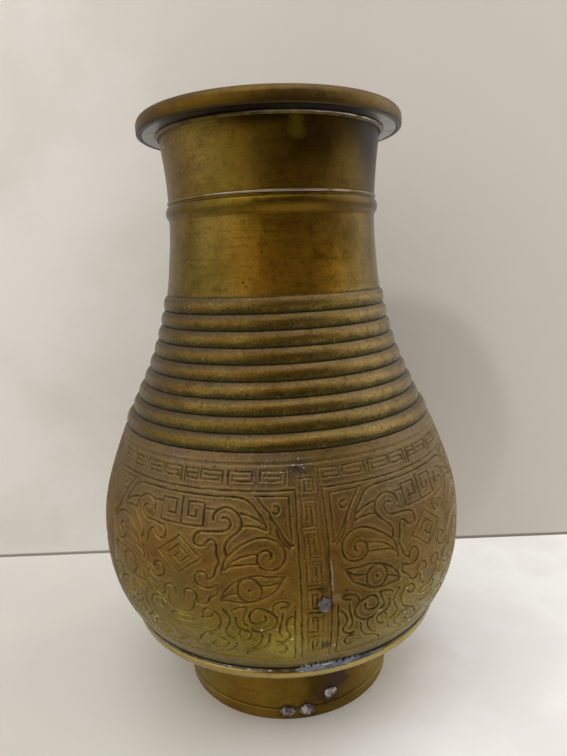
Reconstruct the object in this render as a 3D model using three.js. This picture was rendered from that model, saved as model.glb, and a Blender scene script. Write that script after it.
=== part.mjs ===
// Brass vase with a ribbed shoulder, a round belly and a spun foot.
// Millimetres, +Z up. The origin is the centre of the ring that the foot stands on.
// Front is -Y: angles round the axis are counted from there towards +X.

import * as THREE from 'three';

// Wall and fits

const WALL = 2.0; // thickness of the brass walls
const FIT_GAP = 0.3; // clearance between pieces that touch or fit into each other
const SEGMENTS = 44; // faces round the axis

// Foot: a spun ring whose top flares out into a dish with a rolled rim

const FOOT_RADIUS = 45.4; // outer radius at the table
const FOOT_WALL_HEIGHT = 15; // upright part, below the flare
const BAND_HEIGHT = 5; // strip round the bottom edge
const BAND_THICKNESS = 0.8;
const BAND_FLARE = 0.4; // how far the strip leans out at its top
const RIM_RADIUS = 66.8; // outermost radius of the rolled rim
const RIM_ROLL = 2.5; // radius of the roll's section
const RIM_HEIGHT = 37.1; // height of the roll's centre
const DISH_DROP = 1.0; // the ledge lies this far below the roll's centre
const FLARE_START = 11; // how far above the upright part the flare holds its direction

// Base plate, soldered onto the dish's ledge

const PLATE_MARGIN = 3.8; // from the roll's inner side to the plate's edge
const PLATE_THICKNESS = 1.6;
const LEDGE_WIDTH = 6; // how far the ledge reaches in under the plate's edge

// Belly: widest at its equator, with a straight collar below the shoulder

const BELLY_RADIUS = 77.1;
const EQUATOR_HEIGHT = 74.2;
const BELLY_SET_IN = 0.2; // the belly's lower edge stands this far inside the rolled rim
const SHOULDER_SEAM = 120.3; // height of the joint between belly and shoulder
const COLLAR_ANGLE = 24; // degrees from upright, at the seam
const EQUATOR_FULLNESS = 0.36; // share of the upper half that stays near upright
const COLLAR_FULLNESS = 0.46; // share of the upper half that follows the collar

// Shoulder and lower neck: one sweep from the waist down, ribbed near the seam

const WAIST_RADIUS = 42.2; // narrowest outer radius
const WAIST_HEIGHT = 202.5;
const SHOULDER_SWEEP = 165; // radius of the hollow curve below the waist
const RIB_COUNT = 9;
const RIB_TOP = 171.4; // height where the first rib starts
const RIB_DEPTH = 1.15; // rise of a rib above its grooves
const SPIGOT_LENGTH = 5; // lip below the seam that centres the shoulder in the belly
const SPIGOT_WALL = 1.3;

// Joint between lower and upper neck: a sleeve with a bead, over a turned-down spigot

const SLEEVE_TOP = 208.3;
const SLEEVE_STEP = 0.4; // rise of the sleeve's edge above the upper neck
const SLEEVE_DEPTH = 12; // how far the upper neck goes in
const SOCKET_WALL = 0.8; // sleeve wall inside the waist radius
const BEAD_HEIGHT = 204.7; // centre of the bead
const BEAD_HALF_WIDTH = 3;
const BEAD_DEPTH = 1.25;

// Upper neck and lip

const NECK_SWEEP = 200; // radius of the hollow curve above the waist
const LIP_TOP = 240;
const LIP_OVERHANG = 7.25; // how far the lip reaches out beyond the neck's curve
const LIP_DEPTH = 6.6; // from the underside to the top
const LIP_ROUND = 3.2; // rounding of the upper outer edge
const LIP_EDGE_ROUND = 0.9; // rounding of the lower outer edge and of the mouth
const RIM_WALL = 1.8; // side wall of the lip
const UNDERPLATE_THICKNESS = 1.6;

// Solder

const FILLET = 1.1; // leg of a solder fillet
const SEAM_PROUD = 0.2; // the solder in the belly's seam stands this far outside the rolled rim
const DAB_RISE = 0.9; // height of a dab of solder
const LUMP_RISE = 0.7; // thickness of the lump on the seam
const LUMP_REACH = 1.6; // how far the lump climbs the belly
const SPLASH_DROP = 4.3; // the splash on the belly lies this far below the equator
const FOOT_DAB_HEIGHT = 9.6; // solder on the upright part of the foot

// Curves that several pieces share

function sweepRise(sweep, run) {
  return sweep - Math.sqrt(sweep * sweep - run * run);
}

function neckRadius(height) {
  const run = height - WAIST_HEIGHT;
  return WAIST_RADIUS + sweepRise(run < 0 ? SHOULDER_SWEEP : NECK_SWEEP, run);
}

function point(radius, height) {
  return new THREE.Vector2(radius, height);
}

function arc(centreRadius, centreHeight, radius, fromDegrees, toDegrees, steps) {
  return Array.from({ length: steps + 1 }, (_, i) => {
    const angle = THREE.MathUtils.degToRad(fromDegrees + ((toDegrees - fromDegrees) * i) / steps);
    return point(centreRadius + radius * Math.cos(angle), centreHeight + radius * Math.sin(angle));
  });
}

function alongHeight(radiusAt, fromHeight, toHeight, steps) {
  return Array.from({ length: steps + 1 }, (_, i) => {
    const height = fromHeight + ((toHeight - fromHeight) * i) / steps;
    return point(radiusAt(height), height);
  });
}

function bezier(start, startHandle, endHandle, end, steps) {
  return new THREE.CubicBezierCurve(start, startHandle, endHandle, end).getPoints(steps);
}

// Building pieces: a section runs up its outer side and down its inner side

function brass(color, roughness, metalness = 1) {
  return new THREE.MeshStandardMaterial({ color, roughness, metalness });
}

function mesh(name, geometry, material) {
  const piece = new THREE.Mesh(geometry, material);
  piece.name = name;
  return piece;
}

function turned(name, section, material, segments = SEGMENTS) {
  const piece = mesh(name, new THREE.LatheGeometry([...section, section[0]], segments), material);
  piece.rotation.x = Math.PI / 2;
  return piece;
}

// Foot

const bandTopRadius = FOOT_RADIUS + BAND_FLARE;
const rimCentre = RIM_RADIUS - RIM_ROLL;
const footInner = FOOT_RADIUS - WALL;
const ledgeHeight = RIM_HEIGHT - DISH_DROP;
const plateRadius = rimCentre - RIM_ROLL - PLATE_MARGIN;
const ledgeEnd = plateRadius - LEDGE_WIDTH; // the ledge's inner end, under the plate

function footSection() {
  const rebate = FOOT_RADIUS - BAND_THICKNESS - FIT_GAP;
  const flare = ledgeEnd - footInner; // level reach of the flare
  const roll = arc(rimCentre, RIM_HEIGHT, RIM_ROLL, -130, 160, 8);
  const underside = bezier(
    point(FOOT_RADIUS, FOOT_WALL_HEIGHT),
    point(FOOT_RADIUS, FOOT_WALL_HEIGHT + FLARE_START),
    point(FOOT_RADIUS + 0.35 * flare, ledgeHeight - WALL - FIT_GAP),
    point(ledgeEnd + WALL, ledgeHeight - WALL),
    5,
  );
  const inside = bezier(
    point(ledgeEnd, ledgeHeight),
    point(footInner + 0.46 * flare, ledgeHeight),
    point(footInner, FOOT_WALL_HEIGHT + FLARE_START + WALL),
    point(footInner, FOOT_WALL_HEIGHT + WALL),
    5,
  );
  return [
    point(footInner, 0),
    point(rebate, 0),
    point(rebate, BAND_HEIGHT + FIT_GAP),
    point(bandTopRadius - BAND_FLARE / 2, BAND_HEIGHT + FIT_GAP),
    ...underside,
    ...roll,
    point(rimCentre - RIM_ROLL - 0.5, ledgeHeight),
    ...inside,
  ];
}

function bandSection() {
  const inner = FOOT_RADIUS - BAND_THICKNESS;
  return [
    point(inner, 0),
    point(FOOT_RADIUS - 0.3, 0),
    point(FOOT_RADIUS, 0.3),
    point(bandTopRadius, BAND_HEIGHT - 0.4),
    point(bandTopRadius - 0.3, BAND_HEIGHT),
    point(inner, BAND_HEIGHT),
  ];
}

// Base plate

const plateBottom = ledgeHeight + FIT_GAP;
const plateTop = plateBottom + PLATE_THICKNESS;

function plateSection() {
  return [
    point(0, plateBottom),
    point(plateRadius, plateBottom),
    point(plateRadius, plateTop),
    point(0, plateTop),
  ];
}

function plateSolderSection() {
  const start = plateRadius + FIT_GAP;
  return [point(start, plateBottom), point(start + FILLET, plateBottom), point(start, plateTop)];
}

// Belly

const bellyBottom = RIM_HEIGHT + RIM_ROLL + FIT_GAP;
const bellyBottomRadius = RIM_RADIUS - BELLY_SET_IN;
const bellyTop = SHOULDER_SEAM - FIT_GAP / 2;
const seamRadius = neckRadius(SHOULDER_SEAM);
const collar = THREE.MathUtils.degToRad(COLLAR_ANGLE);
const collarWall = WALL / Math.cos(collar); // wall measured level, across the collar

function bellyUpper(inset, topInset) {
  const rise = bellyTop - EQUATOR_HEIGHT;
  const end = point(seamRadius - topInset, bellyTop);
  return bezier(
    point(BELLY_RADIUS - inset, EQUATOR_HEIGHT),
    point(BELLY_RADIUS - inset, EQUATOR_HEIGHT + EQUATOR_FULLNESS * rise),
    point(end.x + COLLAR_FULLNESS * rise * Math.tan(collar), bellyTop - COLLAR_FULLNESS * rise),
    end,
    6,
  );
}

function bellyLowerRadius(inset, bottomInset) {
  const drop = EQUATOR_HEIGHT - bellyBottom;
  const widest = BELLY_RADIUS - inset;
  const shrink = widest - (bellyBottomRadius - bottomInset);
  const sweep = (drop * drop + shrink * shrink) / (2 * shrink);
  return (height) => widest - sweepRise(sweep, EQUATOR_HEIGHT - height);
}

function bellyLower(inset, bottomInset) {
  return alongHeight(bellyLowerRadius(inset, bottomInset), bellyBottom, EQUATOR_HEIGHT, 5);
}

function bellyInside() {
  return [...bellyLower(WALL, 1.2 * WALL), ...bellyUpper(WALL, collarWall).slice(1)];
}

function bellySection() {
  const outside = [...bellyLower(0, 0), ...bellyUpper(0, 0).slice(1)];
  return [...outside, ...bellyInside().reverse()];
}

// Radius of the belly's inner wall at a height, measured on its section
function bellyInnerRadius(height) {
  const wall = bellyInside();
  const above = wall.findIndex(({ y }) => y >= height);
  const [low, high] = [wall[above - 1], wall[above]];
  return low.x + ((high.x - low.x) * (height - low.y)) / (high.y - low.y);
}

// Seam solder, in the groove between the belly's edge and the foot's rolled rim

const seamSolderRadius = RIM_RADIUS + SEAM_PROUD;

function seamSolderSection() {
  const roll = RIM_ROLL + FIT_GAP;
  const [onRollHigh, onRollLow] = arc(rimCentre, RIM_HEIGHT, roll, 60, 36, 1);
  return [
    onRollHigh,
    onRollLow,
    point(seamSolderRadius, onRollLow.y + FIT_GAP / 2),
    point(seamSolderRadius - SEAM_PROUD / 2, bellyBottom - FIT_GAP),
  ];
}

// Shoulder with the lower neck

const spigotRadius = seamRadius - collarWall - FIT_GAP;
const spigotBottom = SHOULDER_SEAM - SPIGOT_LENGTH;
const socketRadius = WAIST_RADIUS - SOCKET_WALL;
const socketBottom = SLEEVE_TOP - SLEEVE_DEPTH;
const neckInner = WAIST_RADIUS - WALL;

// Angle on the shoulder's sweep, from level, at a given height
function sweepAngle(height) {
  return Math.asin((WAIST_HEIGHT - height) / SHOULDER_SWEEP);
}

function ribs() {
  const centre = WAIST_RADIUS + SHOULDER_SWEEP;
  const start = sweepAngle(SHOULDER_SEAM + FIT_GAP / 2);
  const pitch = (start - sweepAngle(RIB_TOP)) / RIB_COUNT;
  const points = [];
  for (let rib = 0; rib < RIB_COUNT; rib += 1) {
    for (const part of [0, 0.14, 0.5, 0.86]) {
      const angle = start - (rib + part) * pitch;
      const rise = RIB_DEPTH * (1 - (2 * part - 1) ** 2) ** 0.6;
      const reach = SHOULDER_SWEEP - rise;
      points.push(point(centre - reach * Math.cos(angle), WAIST_HEIGHT - reach * Math.sin(angle)));
    }
  }
  points.push(point(neckRadius(RIB_TOP), RIB_TOP));
  return points;
}

function bead() {
  return [-1, -0.75, -0.25, 0.25, 0.75, 1].map((part) => {
    const height = BEAD_HEIGHT + part * BEAD_HALF_WIDTH;
    const base = part === 1 ? SLEEVE_STEP : 0;
    return point(neckRadius(height) + base + BEAD_DEPTH * Math.sqrt(1 - part * part), height);
  });
}

function shoulderSection() {
  const beadBottom = BEAD_HEIGHT - BEAD_HALF_WIDTH;
  const insideSweep = SHOULDER_SWEEP + WALL;
  const sweepInside = (height) => neckInner + sweepRise(insideSweep, height - WAIST_HEIGHT);
  return [
    point(spigotRadius - SPIGOT_WALL, spigotBottom),
    point(spigotRadius, spigotBottom),
    point(spigotRadius, SHOULDER_SEAM + FIT_GAP / 2),
    ...ribs(),
    ...alongHeight(neckRadius, RIB_TOP, beadBottom, 4).slice(1, -1),
    ...bead(),
    point(neckRadius(SLEEVE_TOP) + SLEEVE_STEP, SLEEVE_TOP),
    point(socketRadius, SLEEVE_TOP),
    point(socketRadius, socketBottom),
    point(neckInner, socketBottom),
    ...alongHeight(sweepInside, socketBottom - WALL, SHOULDER_SEAM + WALL, 7),
    point(spigotRadius - SPIGOT_WALL, SHOULDER_SEAM),
  ];
}

// Solder inside the vase, under the shoulder's spigot
function shoulderSolderSection() {
  const top = spigotBottom - FIT_GAP;
  const bottom = top - FILLET;
  return [
    point(spigotRadius - SPIGOT_WALL, top),
    point(bellyInnerRadius(bottom) - FILLET, bottom),
    point(bellyInnerRadius(bottom) - FIT_GAP, bottom),
    point(bellyInnerRadius(top) - FIT_GAP, top),
  ];
}

// Upper neck

const neckTop = LIP_TOP - WALL - FIT_GAP;

function upperNeckSection() {
  const spigot = socketRadius - FIT_GAP;
  const end = socketBottom + FIT_GAP;
  const shoulder = SLEEVE_TOP + FIT_GAP;
  return [
    point(neckInner, end),
    point(spigot, end),
    point(spigot, shoulder),
    ...alongHeight(neckRadius, shoulder, neckTop, 4),
    ...alongHeight((height) => neckRadius(height) - WALL, neckTop, shoulder, 4),
  ];
}

// Solder inside the neck, at the lower end of the lap joint
function neckSolderSection() {
  const inner = neckInner - FIT_GAP;
  const middle = socketBottom + FIT_GAP / 2;
  return [point(inner - 0.5, middle), point(inner, middle - FILLET), point(inner, middle + FILLET)];
}

// Lip: a rounded brass rim over the neck's end, closed below by a tinned plate

const mouthRadius = neckRadius(neckTop) - WALL;
const lipRadius = neckRadius(LIP_TOP) + LIP_OVERHANG;
const lipBottom = LIP_TOP - LIP_DEPTH;
const rimInner = lipRadius - RIM_WALL;

function lipSection() {
  const plateUnderside = LIP_TOP - WALL;
  return [
    point(mouthRadius, plateUnderside),
    point(rimInner - WALL / 2, plateUnderside),
    point(rimInner, plateUnderside - WALL / 2),
    point(rimInner, lipBottom),
    ...arc(lipRadius - LIP_EDGE_ROUND, lipBottom + LIP_EDGE_ROUND, LIP_EDGE_ROUND, -90, 0, 2),
    ...arc(lipRadius - LIP_ROUND, LIP_TOP - LIP_ROUND, LIP_ROUND, 0, 90, 4),
    ...arc(mouthRadius + LIP_EDGE_ROUND, LIP_TOP - LIP_EDGE_ROUND, LIP_EDGE_ROUND, 90, 180, 2),
  ];
}

const underplateBottom = lipBottom + 0.1;

function underplateSection() {
  const top = underplateBottom + UNDERPLATE_THICKNESS;
  const inner = neckRadius(top) + FIT_GAP;
  const outer = rimInner - FIT_GAP;
  return [
    point(inner, underplateBottom),
    point(outer, underplateBottom),
    point(outer, top),
    point(inner, top),
  ];
}

function lipSolderSection() {
  const top = underplateBottom - FIT_GAP;
  const bottom = top - FILLET;
  return [
    point(neckRadius(bottom) + FIT_GAP, bottom),
    point(neckRadius(top) + FIT_GAP + FILLET, top),
    point(neckRadius(top) + FIT_GAP, top),
  ];
}

// Dab of solder: a round dome with its flat back towards the wall that it sticks to.
// The tilt turns its face down from level.

function solderDab(name, size, wallRadius, height, degrees, tilt, material) {
  const dome = [point(0, 0), point(size, 0), point(0.75 * size, 0.6 * DAB_RISE), point(0, DAB_RISE)];
  const dab = mesh(name, new THREE.LatheGeometry(dome, 12), material);
  dab.rotation.x = Math.PI + THREE.MathUtils.degToRad(tilt);
  dab.position.y = -(wallRadius + FIT_GAP / Math.cos(THREE.MathUtils.degToRad(tilt)));
  const turn = new THREE.Group();
  turn.rotation.z = THREE.MathUtils.degToRad(degrees);
  turn.position.z = height;
  turn.add(dab);
  return turn;
}

// Lump of solder smeared along the seam, from one angle to another

class LevelArc extends THREE.Curve {
  constructor(radius, height, fromDegrees, toDegrees) {
    super();
    this.radius = radius;
    this.height = height;
    this.from = THREE.MathUtils.degToRad(fromDegrees);
    this.sweep = THREE.MathUtils.degToRad(toDegrees - fromDegrees);
  }

  getPoint(t, target = new THREE.Vector3()) {
    const angle = this.from + t * this.sweep;
    return target.set(this.radius * Math.sin(angle), -this.radius * Math.cos(angle), this.height);
  }
}

function seamLump(name, fromDegrees, toDegrees, material) {
  const inner = seamSolderRadius + FIT_GAP;
  const top = bellyBottom + LUMP_REACH;
  const topInner = bellyLowerRadius(0, 0)(top) + 1.3 * FIT_GAP;
  const section = [
    point(inner, RIM_HEIGHT + 1.2),
    point(inner + LUMP_RISE, RIM_HEIGHT + 1.8),
    point(topInner + LUMP_RISE, top - 0.5),
    point(topInner, top),
    point(inner, bellyBottom),
  ];
  const outline = section.map(({ x, y }) => new THREE.Vector2(bellyBottom - y, inner - x));
  const geometry = new THREE.ExtrudeGeometry(new THREE.Shape(outline), {
    extrudePath: new LevelArc(inner, bellyBottom, fromDegrees, toDegrees),
    steps: 6,
  });
  return mesh(name, geometry, material);
}

// Finishes

const lipBrass = brass(0x7d6a42, 0.5);
const neckBrass = brass(0x8f7a38, 0.38);
const ribBrass = brass(0x84703c, 0.48);
const bellyBrass = brass(0x8c7448, 0.55);
const footBrass = brass(0x8f7634, 0.36);
const tinned = brass(0x78736f, 0.55, 0.8);
const solder = brass(0xa5a29b, 0.6, 0.7);
const hiddenBrass = brass(0x6b5a34, 0.6);

const vase = new THREE.Group();

vase.add(
  turned('foot', footSection(), footBrass),
  turned('foot_band', bandSection(), footBrass),
  turned('base_plate', plateSection(), hiddenBrass),
  turned('base_plate_solder', plateSolderSection(), solder),
  turned('belly', bellySection(), bellyBrass),
  turned('belly_seam_solder', seamSolderSection(), solder),
  turned('ribbed_shoulder', shoulderSection(), ribBrass),
  turned('shoulder_joint_solder', shoulderSolderSection(), solder),
  turned('upper_neck', upperNeckSection(), neckBrass),
  turned('neck_joint_solder', neckSolderSection(), solder),
  turned('lip_rim', lipSection(), lipBrass),
  turned('lip_underplate', underplateSection(), tinned),
  turned('lip_solder_fillet', lipSolderSection(), solder),
);

const bandDabHeight = BAND_HEIGHT - 0.7;
const footDabWall = bandTopRadius - BAND_FLARE / 2;

vase.add(
  seamLump('seam_solder_lump', 3, 19, solder),
  solderDab('band_solder_left', 2.6, bandTopRadius, bandDabHeight, -1.5, 0, solder),
  solderDab('band_solder_right', 2.9, bandTopRadius, bandDabHeight, 8.3, 0, solder),
  solderDab('foot_wall_solder', 2.8, footDabWall, FOOT_DAB_HEIGHT, 21, 0, solder),
  solderDab('belly_solder_splash', 2.4, BELLY_RADIUS, EQUATOR_HEIGHT - SPLASH_DROP, 9.7, 4, solder),
);

export default vase;
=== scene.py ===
"""Looks for a brass vase with a chased belly, a ribbed shoulder and a spun foot."""

from math import asin, atan2, cos, degrees, hypot, pi, radians, sin, sqrt, tan

import bpy
import numpy as np
from mathutils import Matrix, Vector, noise


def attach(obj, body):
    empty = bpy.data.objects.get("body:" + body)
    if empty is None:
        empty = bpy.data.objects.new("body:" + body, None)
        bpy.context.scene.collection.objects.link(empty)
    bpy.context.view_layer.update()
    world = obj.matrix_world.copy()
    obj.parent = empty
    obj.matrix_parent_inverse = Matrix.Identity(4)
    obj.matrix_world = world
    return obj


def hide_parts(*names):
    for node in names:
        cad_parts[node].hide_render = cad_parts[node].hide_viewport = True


bl_info = {
    "name": "Brass vase",
    "version": (1, 0, 0),
    "blender": (4, 5, 0),
    "location": "3D View > Sidebar > Brass vase",
    "description": "Builds the finished pieces of a chased brass vase on its frame",
    "category": "Object",
}

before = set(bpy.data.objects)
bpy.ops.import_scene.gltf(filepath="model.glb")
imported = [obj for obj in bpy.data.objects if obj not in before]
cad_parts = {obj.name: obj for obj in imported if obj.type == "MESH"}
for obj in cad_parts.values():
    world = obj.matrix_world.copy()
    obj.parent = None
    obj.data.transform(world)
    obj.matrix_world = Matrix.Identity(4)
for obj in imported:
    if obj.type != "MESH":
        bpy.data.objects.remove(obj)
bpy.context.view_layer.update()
MM = 0.001

# Sizes shared with the frame's solids, in millimetres

WALL = 2.0
FIT_GAP = 0.3
JOINT_GAP = 0.06  # where two sheets are pressed together in sight
FOOT_RADIUS = 45.4
FOOT_WALL_HEIGHT = 15
FOOT_TAPER = 0.15
BAND_HEIGHT = 5
BAND_THICKNESS = 0.8
BAND_FLARE = 0.4
RIM_RADIUS = 66.8
RIM_ROLL = 2.5
RIM_HEIGHT = 37.1
DISH_DROP = 1.0
FLARE_START = 11
FLARE_OUTSIDE = 0.35  # share of the flare where the outer curve's upper handle is
FLARE_INSIDE = 0.46
PLATE_MARGIN = 3.8
LEDGE_WIDTH = 6
BELLY_RADIUS = 77.1
EQUATOR_HEIGHT = 74.2
BELLY_SET_IN = 0.2
SHOULDER_SEAM = 120.3
COLLAR_ANGLE = 24
EQUATOR_FULLNESS = 0.36
COLLAR_FULLNESS = 0.46
WAIST_RADIUS = 42.2
WAIST_HEIGHT = 202.5
SHOULDER_SWEEP = 165
RIB_COUNT = 9
RIB_TOP = 171.4
RIB_DEPTH = 1.15
ROUND_TOP = 0.75  # power that gives ribs and bead their round tops
SPIGOT_LENGTH = 5
SPIGOT_WALL = 1.3
SLEEVE_TOP = 208.3
SLEEVE_DEPTH = 12
SOCKET_WALL = 0.8
BEAD_HEIGHT = 204.7
BEAD_HALF_WIDTH = 3
BEAD_DEPTH = 1.25
BEAD_MIDDLE = 204.0  # of the round part, below the sleeve's edge
BEAD_REACH = 2.7
SLEEVE_EDGE = 207.75
SLEEVE_EDGE_REACH = 0.55
SLEEVE_EDGE_RISE = 0.5
NECK_SWEEP = 200
LIP_TOP = 240
LIP_OVERHANG = 7.25
LIP_DEPTH = 6.6
LIP_ROUND = 3.2
LIP_EDGE_ROUND = 0.9
RIM_WALL = 1.8
UNDERPLATE_THICKNESS = 1.6
FILLET = 1.1

# Layout of the chasing, in degrees round the axis and millimetres of height

PANELS = 5
PANEL_TURN = 72
BAR_ANGLE = 7.75  # middle of the bar in front, from -Y towards +X
CHASED_FROM = 44.0
CHASED_TO = 117.6

# Steps round the axis, and steps of a vertex group's weight

TURNED_STEPS = 180
SHOULDER_STEPS = 168
PANEL_STEPS = 288
LUMP_STEPS = 160
WEIGHT_LEVELS = 250

# The old vase isn't quite true: (height, millimetres to the right) and (height, millimetres wider)

LEAN = (
    (0, 0), (20, -0.2), (60, -0.35), (115, -0.45), (130, -0.7), (145, -0.3), (165, 0.1), (185, 0.45),
    (205, 0.85), (215, 1.05), (240, 1.1),
)
SWELLING = (
    (0, 0.1), (30, 0.3), (42, 0.55), (52, 0.6), (62, 0.3), (72, 0), (100, 0), (110, 0.3), (118, 0.45),
    (122, 0.3), (127, -0.1), (135, 0), (142, -0.4), (150, -0.6), (167, -0.6), (172, -0.3), (185, 0.1),
    (200, 0), (240, 0),
)


# Curves shared with the frame's solids


def sweep_rise(sweep, run):
    """How far an arc of radius sweep leaves its tangent over the run."""
    return sweep - sqrt(sweep * sweep - run * run)


def neck_radius(height):
    run = height - WAIST_HEIGHT
    return WAIST_RADIUS + sweep_rise(SHOULDER_SWEEP if run < 0 else NECK_SWEEP, run)


def neck_radius_of(heights):
    """The same curve for an array of heights."""
    sweep = np.where(heights < WAIST_HEIGHT, SHOULDER_SWEEP, NECK_SWEEP)
    return WAIST_RADIUS + sweep - np.sqrt(np.maximum(sweep ** 2 - (heights - WAIST_HEIGHT) ** 2, 0))


def arc(centre_radius, centre_height, radius, from_degrees, to_degrees, steps):
    turns = [radians(from_degrees + (to_degrees - from_degrees) * i / steps) for i in range(steps + 1)]
    return [(centre_radius + radius * cos(t), centre_height + radius * sin(t)) for t in turns]


def along_height(radius_at, low, high, steps):
    heights = [low + (high - low) * i / steps for i in range(steps + 1)]
    return [(radius_at(height), height) for height in heights]


def bezier(start, start_handle, end_handle, end, steps):
    points = []
    for i in range(steps + 1):
        t = i / steps
        shares = ((1 - t) ** 3, 3 * (1 - t) ** 2 * t, 3 * (1 - t) * t * t, t ** 3)
        corners = (start, start_handle, end_handle, end)
        points.append(tuple(sum(s * c[axis] for s, c in zip(shares, corners)) for axis in (0, 1)))
    return points


RIM_CENTRE = RIM_RADIUS - RIM_ROLL
LEDGE_HEIGHT = RIM_HEIGHT - DISH_DROP
FOOT_INNER = FOOT_RADIUS - WALL
PLATE_RADIUS = RIM_CENTRE - RIM_ROLL - PLATE_MARGIN
LEDGE_END = PLATE_RADIUS - LEDGE_WIDTH
BAND_TOP_RADIUS = FOOT_RADIUS + BAND_FLARE
BELLY_BOTTOM = RIM_HEIGHT + RIM_ROLL + FIT_GAP
BELLY_BOTTOM_RADIUS = RIM_RADIUS - BELLY_SET_IN
BELLY_TOP = SHOULDER_SEAM - FIT_GAP / 2
SEAM_RADIUS = neck_radius(SHOULDER_SEAM)
COLLAR = radians(COLLAR_ANGLE)
COLLAR_WALL = WALL / cos(COLLAR)
NECK_TOP = LIP_TOP - WALL - FIT_GAP
MOUTH_RADIUS = neck_radius(NECK_TOP) - WALL
LIP_RADIUS = neck_radius(LIP_TOP) + LIP_OVERHANG
LIP_BOTTOM = LIP_TOP - LIP_DEPTH
RIM_INNER = LIP_RADIUS - RIM_WALL
UNDERPLATE_BOTTOM = LIP_BOTTOM + 0.1
SPIGOT_RADIUS = SEAM_RADIUS - COLLAR_WALL - FIT_GAP
SPIGOT_BOTTOM = SHOULDER_SEAM - SPIGOT_LENGTH
SOCKET_RADIUS = WAIST_RADIUS - SOCKET_WALL
SOCKET_BOTTOM = SLEEVE_TOP - SLEEVE_DEPTH
NECK_INNER = WAIST_RADIUS - WALL


# Sections, as (radius, height) in millimetres: up the outer side, down the inner side


def foot_section():
    rebate = FOOT_RADIUS - BAND_THICKNESS - FIT_GAP
    flare = LEDGE_END - FOOT_INNER
    wall_foot_shade = BAND_HEIGHT + 0.3

    def wall_radius(height):
        """The wall widens a little downwards."""
        return FOOT_RADIUS + FOOT_TAPER * (FOOT_WALL_HEIGHT - height) / (FOOT_WALL_HEIGHT - wall_foot_shade)

    return [
        (FOOT_INNER, 0),
        (rebate, 0),
        (rebate, BAND_HEIGHT + JOINT_GAP),
        (BAND_TOP_RADIUS - BAND_FLARE, BAND_HEIGHT + JOINT_GAP),
        *along_height(wall_radius, wall_foot_shade, FOOT_WALL_HEIGHT, 9),
        *bezier(
            (FOOT_RADIUS, FOOT_WALL_HEIGHT),
            (FOOT_RADIUS, FOOT_WALL_HEIGHT + FLARE_START),
            (FOOT_RADIUS + FLARE_OUTSIDE * flare, LEDGE_HEIGHT - WALL - FIT_GAP),
            (LEDGE_END + WALL, LEDGE_HEIGHT - WALL),
            40,
        )[1:],
        *arc(RIM_CENTRE, RIM_HEIGHT, RIM_ROLL, -130, 160, 56),
        (RIM_CENTRE - RIM_ROLL - 0.5, LEDGE_HEIGHT),
        *bezier(
            (LEDGE_END, LEDGE_HEIGHT),
            (FOOT_INNER + FLARE_INSIDE * flare, LEDGE_HEIGHT),
            (FOOT_INNER, FOOT_WALL_HEIGHT + FLARE_START + WALL),
            (FOOT_INNER, FOOT_WALL_HEIGHT + WALL),
            16,
        ),
    ]


def band_section():
    inner = FOOT_RADIUS - BAND_THICKNESS
    return [
        (inner, 0),
        (FOOT_RADIUS - 0.3, 0),
        *arc(FOOT_RADIUS - 0.3, 0.3, 0.3, -60, 0, 4),
        *along_height(lambda z: FOOT_RADIUS + BAND_FLARE * (z / 4.6) ** 2, 0.8, BAND_HEIGHT - 0.4, 8),
        *arc(BAND_TOP_RADIUS - 0.4, BAND_HEIGHT - 0.4, 0.4, 15, 90, 5),
        (inner, BAND_HEIGHT),
    ]


def belly_lower(inset, bottom_inset, steps):
    drop = EQUATOR_HEIGHT - BELLY_BOTTOM
    widest = BELLY_RADIUS - inset
    shrink = widest - (BELLY_BOTTOM_RADIUS - bottom_inset)
    sweep = (drop * drop + shrink * shrink) / (2 * shrink)

    def radius_at(height):
        return widest - sweep_rise(sweep, EQUATOR_HEIGHT - height)

    return along_height(radius_at, BELLY_BOTTOM, EQUATOR_HEIGHT, steps)


def belly_upper(inset, top_inset, steps):
    rise = BELLY_TOP - EQUATOR_HEIGHT
    end = SEAM_RADIUS - top_inset
    return bezier(
        (BELLY_RADIUS - inset, EQUATOR_HEIGHT),
        (BELLY_RADIUS - inset, EQUATOR_HEIGHT + EQUATOR_FULLNESS * rise),
        (end + COLLAR_FULLNESS * rise * tan(COLLAR), BELLY_TOP - COLLAR_FULLNESS * rise),
        (end, BELLY_TOP),
        steps,
    )


def rib_rise(part):
    """Rise of a rib at a share of its height."""
    return RIB_DEPTH * max(0.0, 1 - (2 * part - 1) ** 2) ** ROUND_TOP


def sweep_angle(height):
    return asin((WAIST_HEIGHT - height) / SHOULDER_SWEEP)


def ribs(steps):
    centre = WAIST_RADIUS + SHOULDER_SWEEP
    start = sweep_angle(SHOULDER_SEAM + FIT_GAP / 2)
    pitch = (start - sweep_angle(RIB_TOP)) / RIB_COUNT
    points = []
    for rib in range(RIB_COUNT):
        for i in range(steps):
            part = (1 - cos(pi * i / steps)) / 2
            turn = start - (rib + part) * pitch
            reach = SHOULDER_SWEEP - rib_rise(part)
            points.append((centre - reach * cos(turn), WAIST_HEIGHT - reach * sin(turn)))
    return points


def bead_rise(height):
    """Rise of the bead and of the sleeve's edge above the neck's curve."""
    part = (height - BEAD_MIDDLE) / BEAD_REACH
    edge = (height - SLEEVE_EDGE) / SLEEVE_EDGE_REACH
    round_top = BEAD_DEPTH * max(0.0, 1 - part * part) ** ROUND_TOP
    return round_top + SLEEVE_EDGE_RISE * sqrt(max(0.0, 1 - edge * edge))


def bead_radius(height):
    return neck_radius(height) + bead_rise(height)


def neck_inside(height):
    return NECK_INNER + sweep_rise(SHOULDER_SWEEP + WALL, height - WAIST_HEIGHT)


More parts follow.
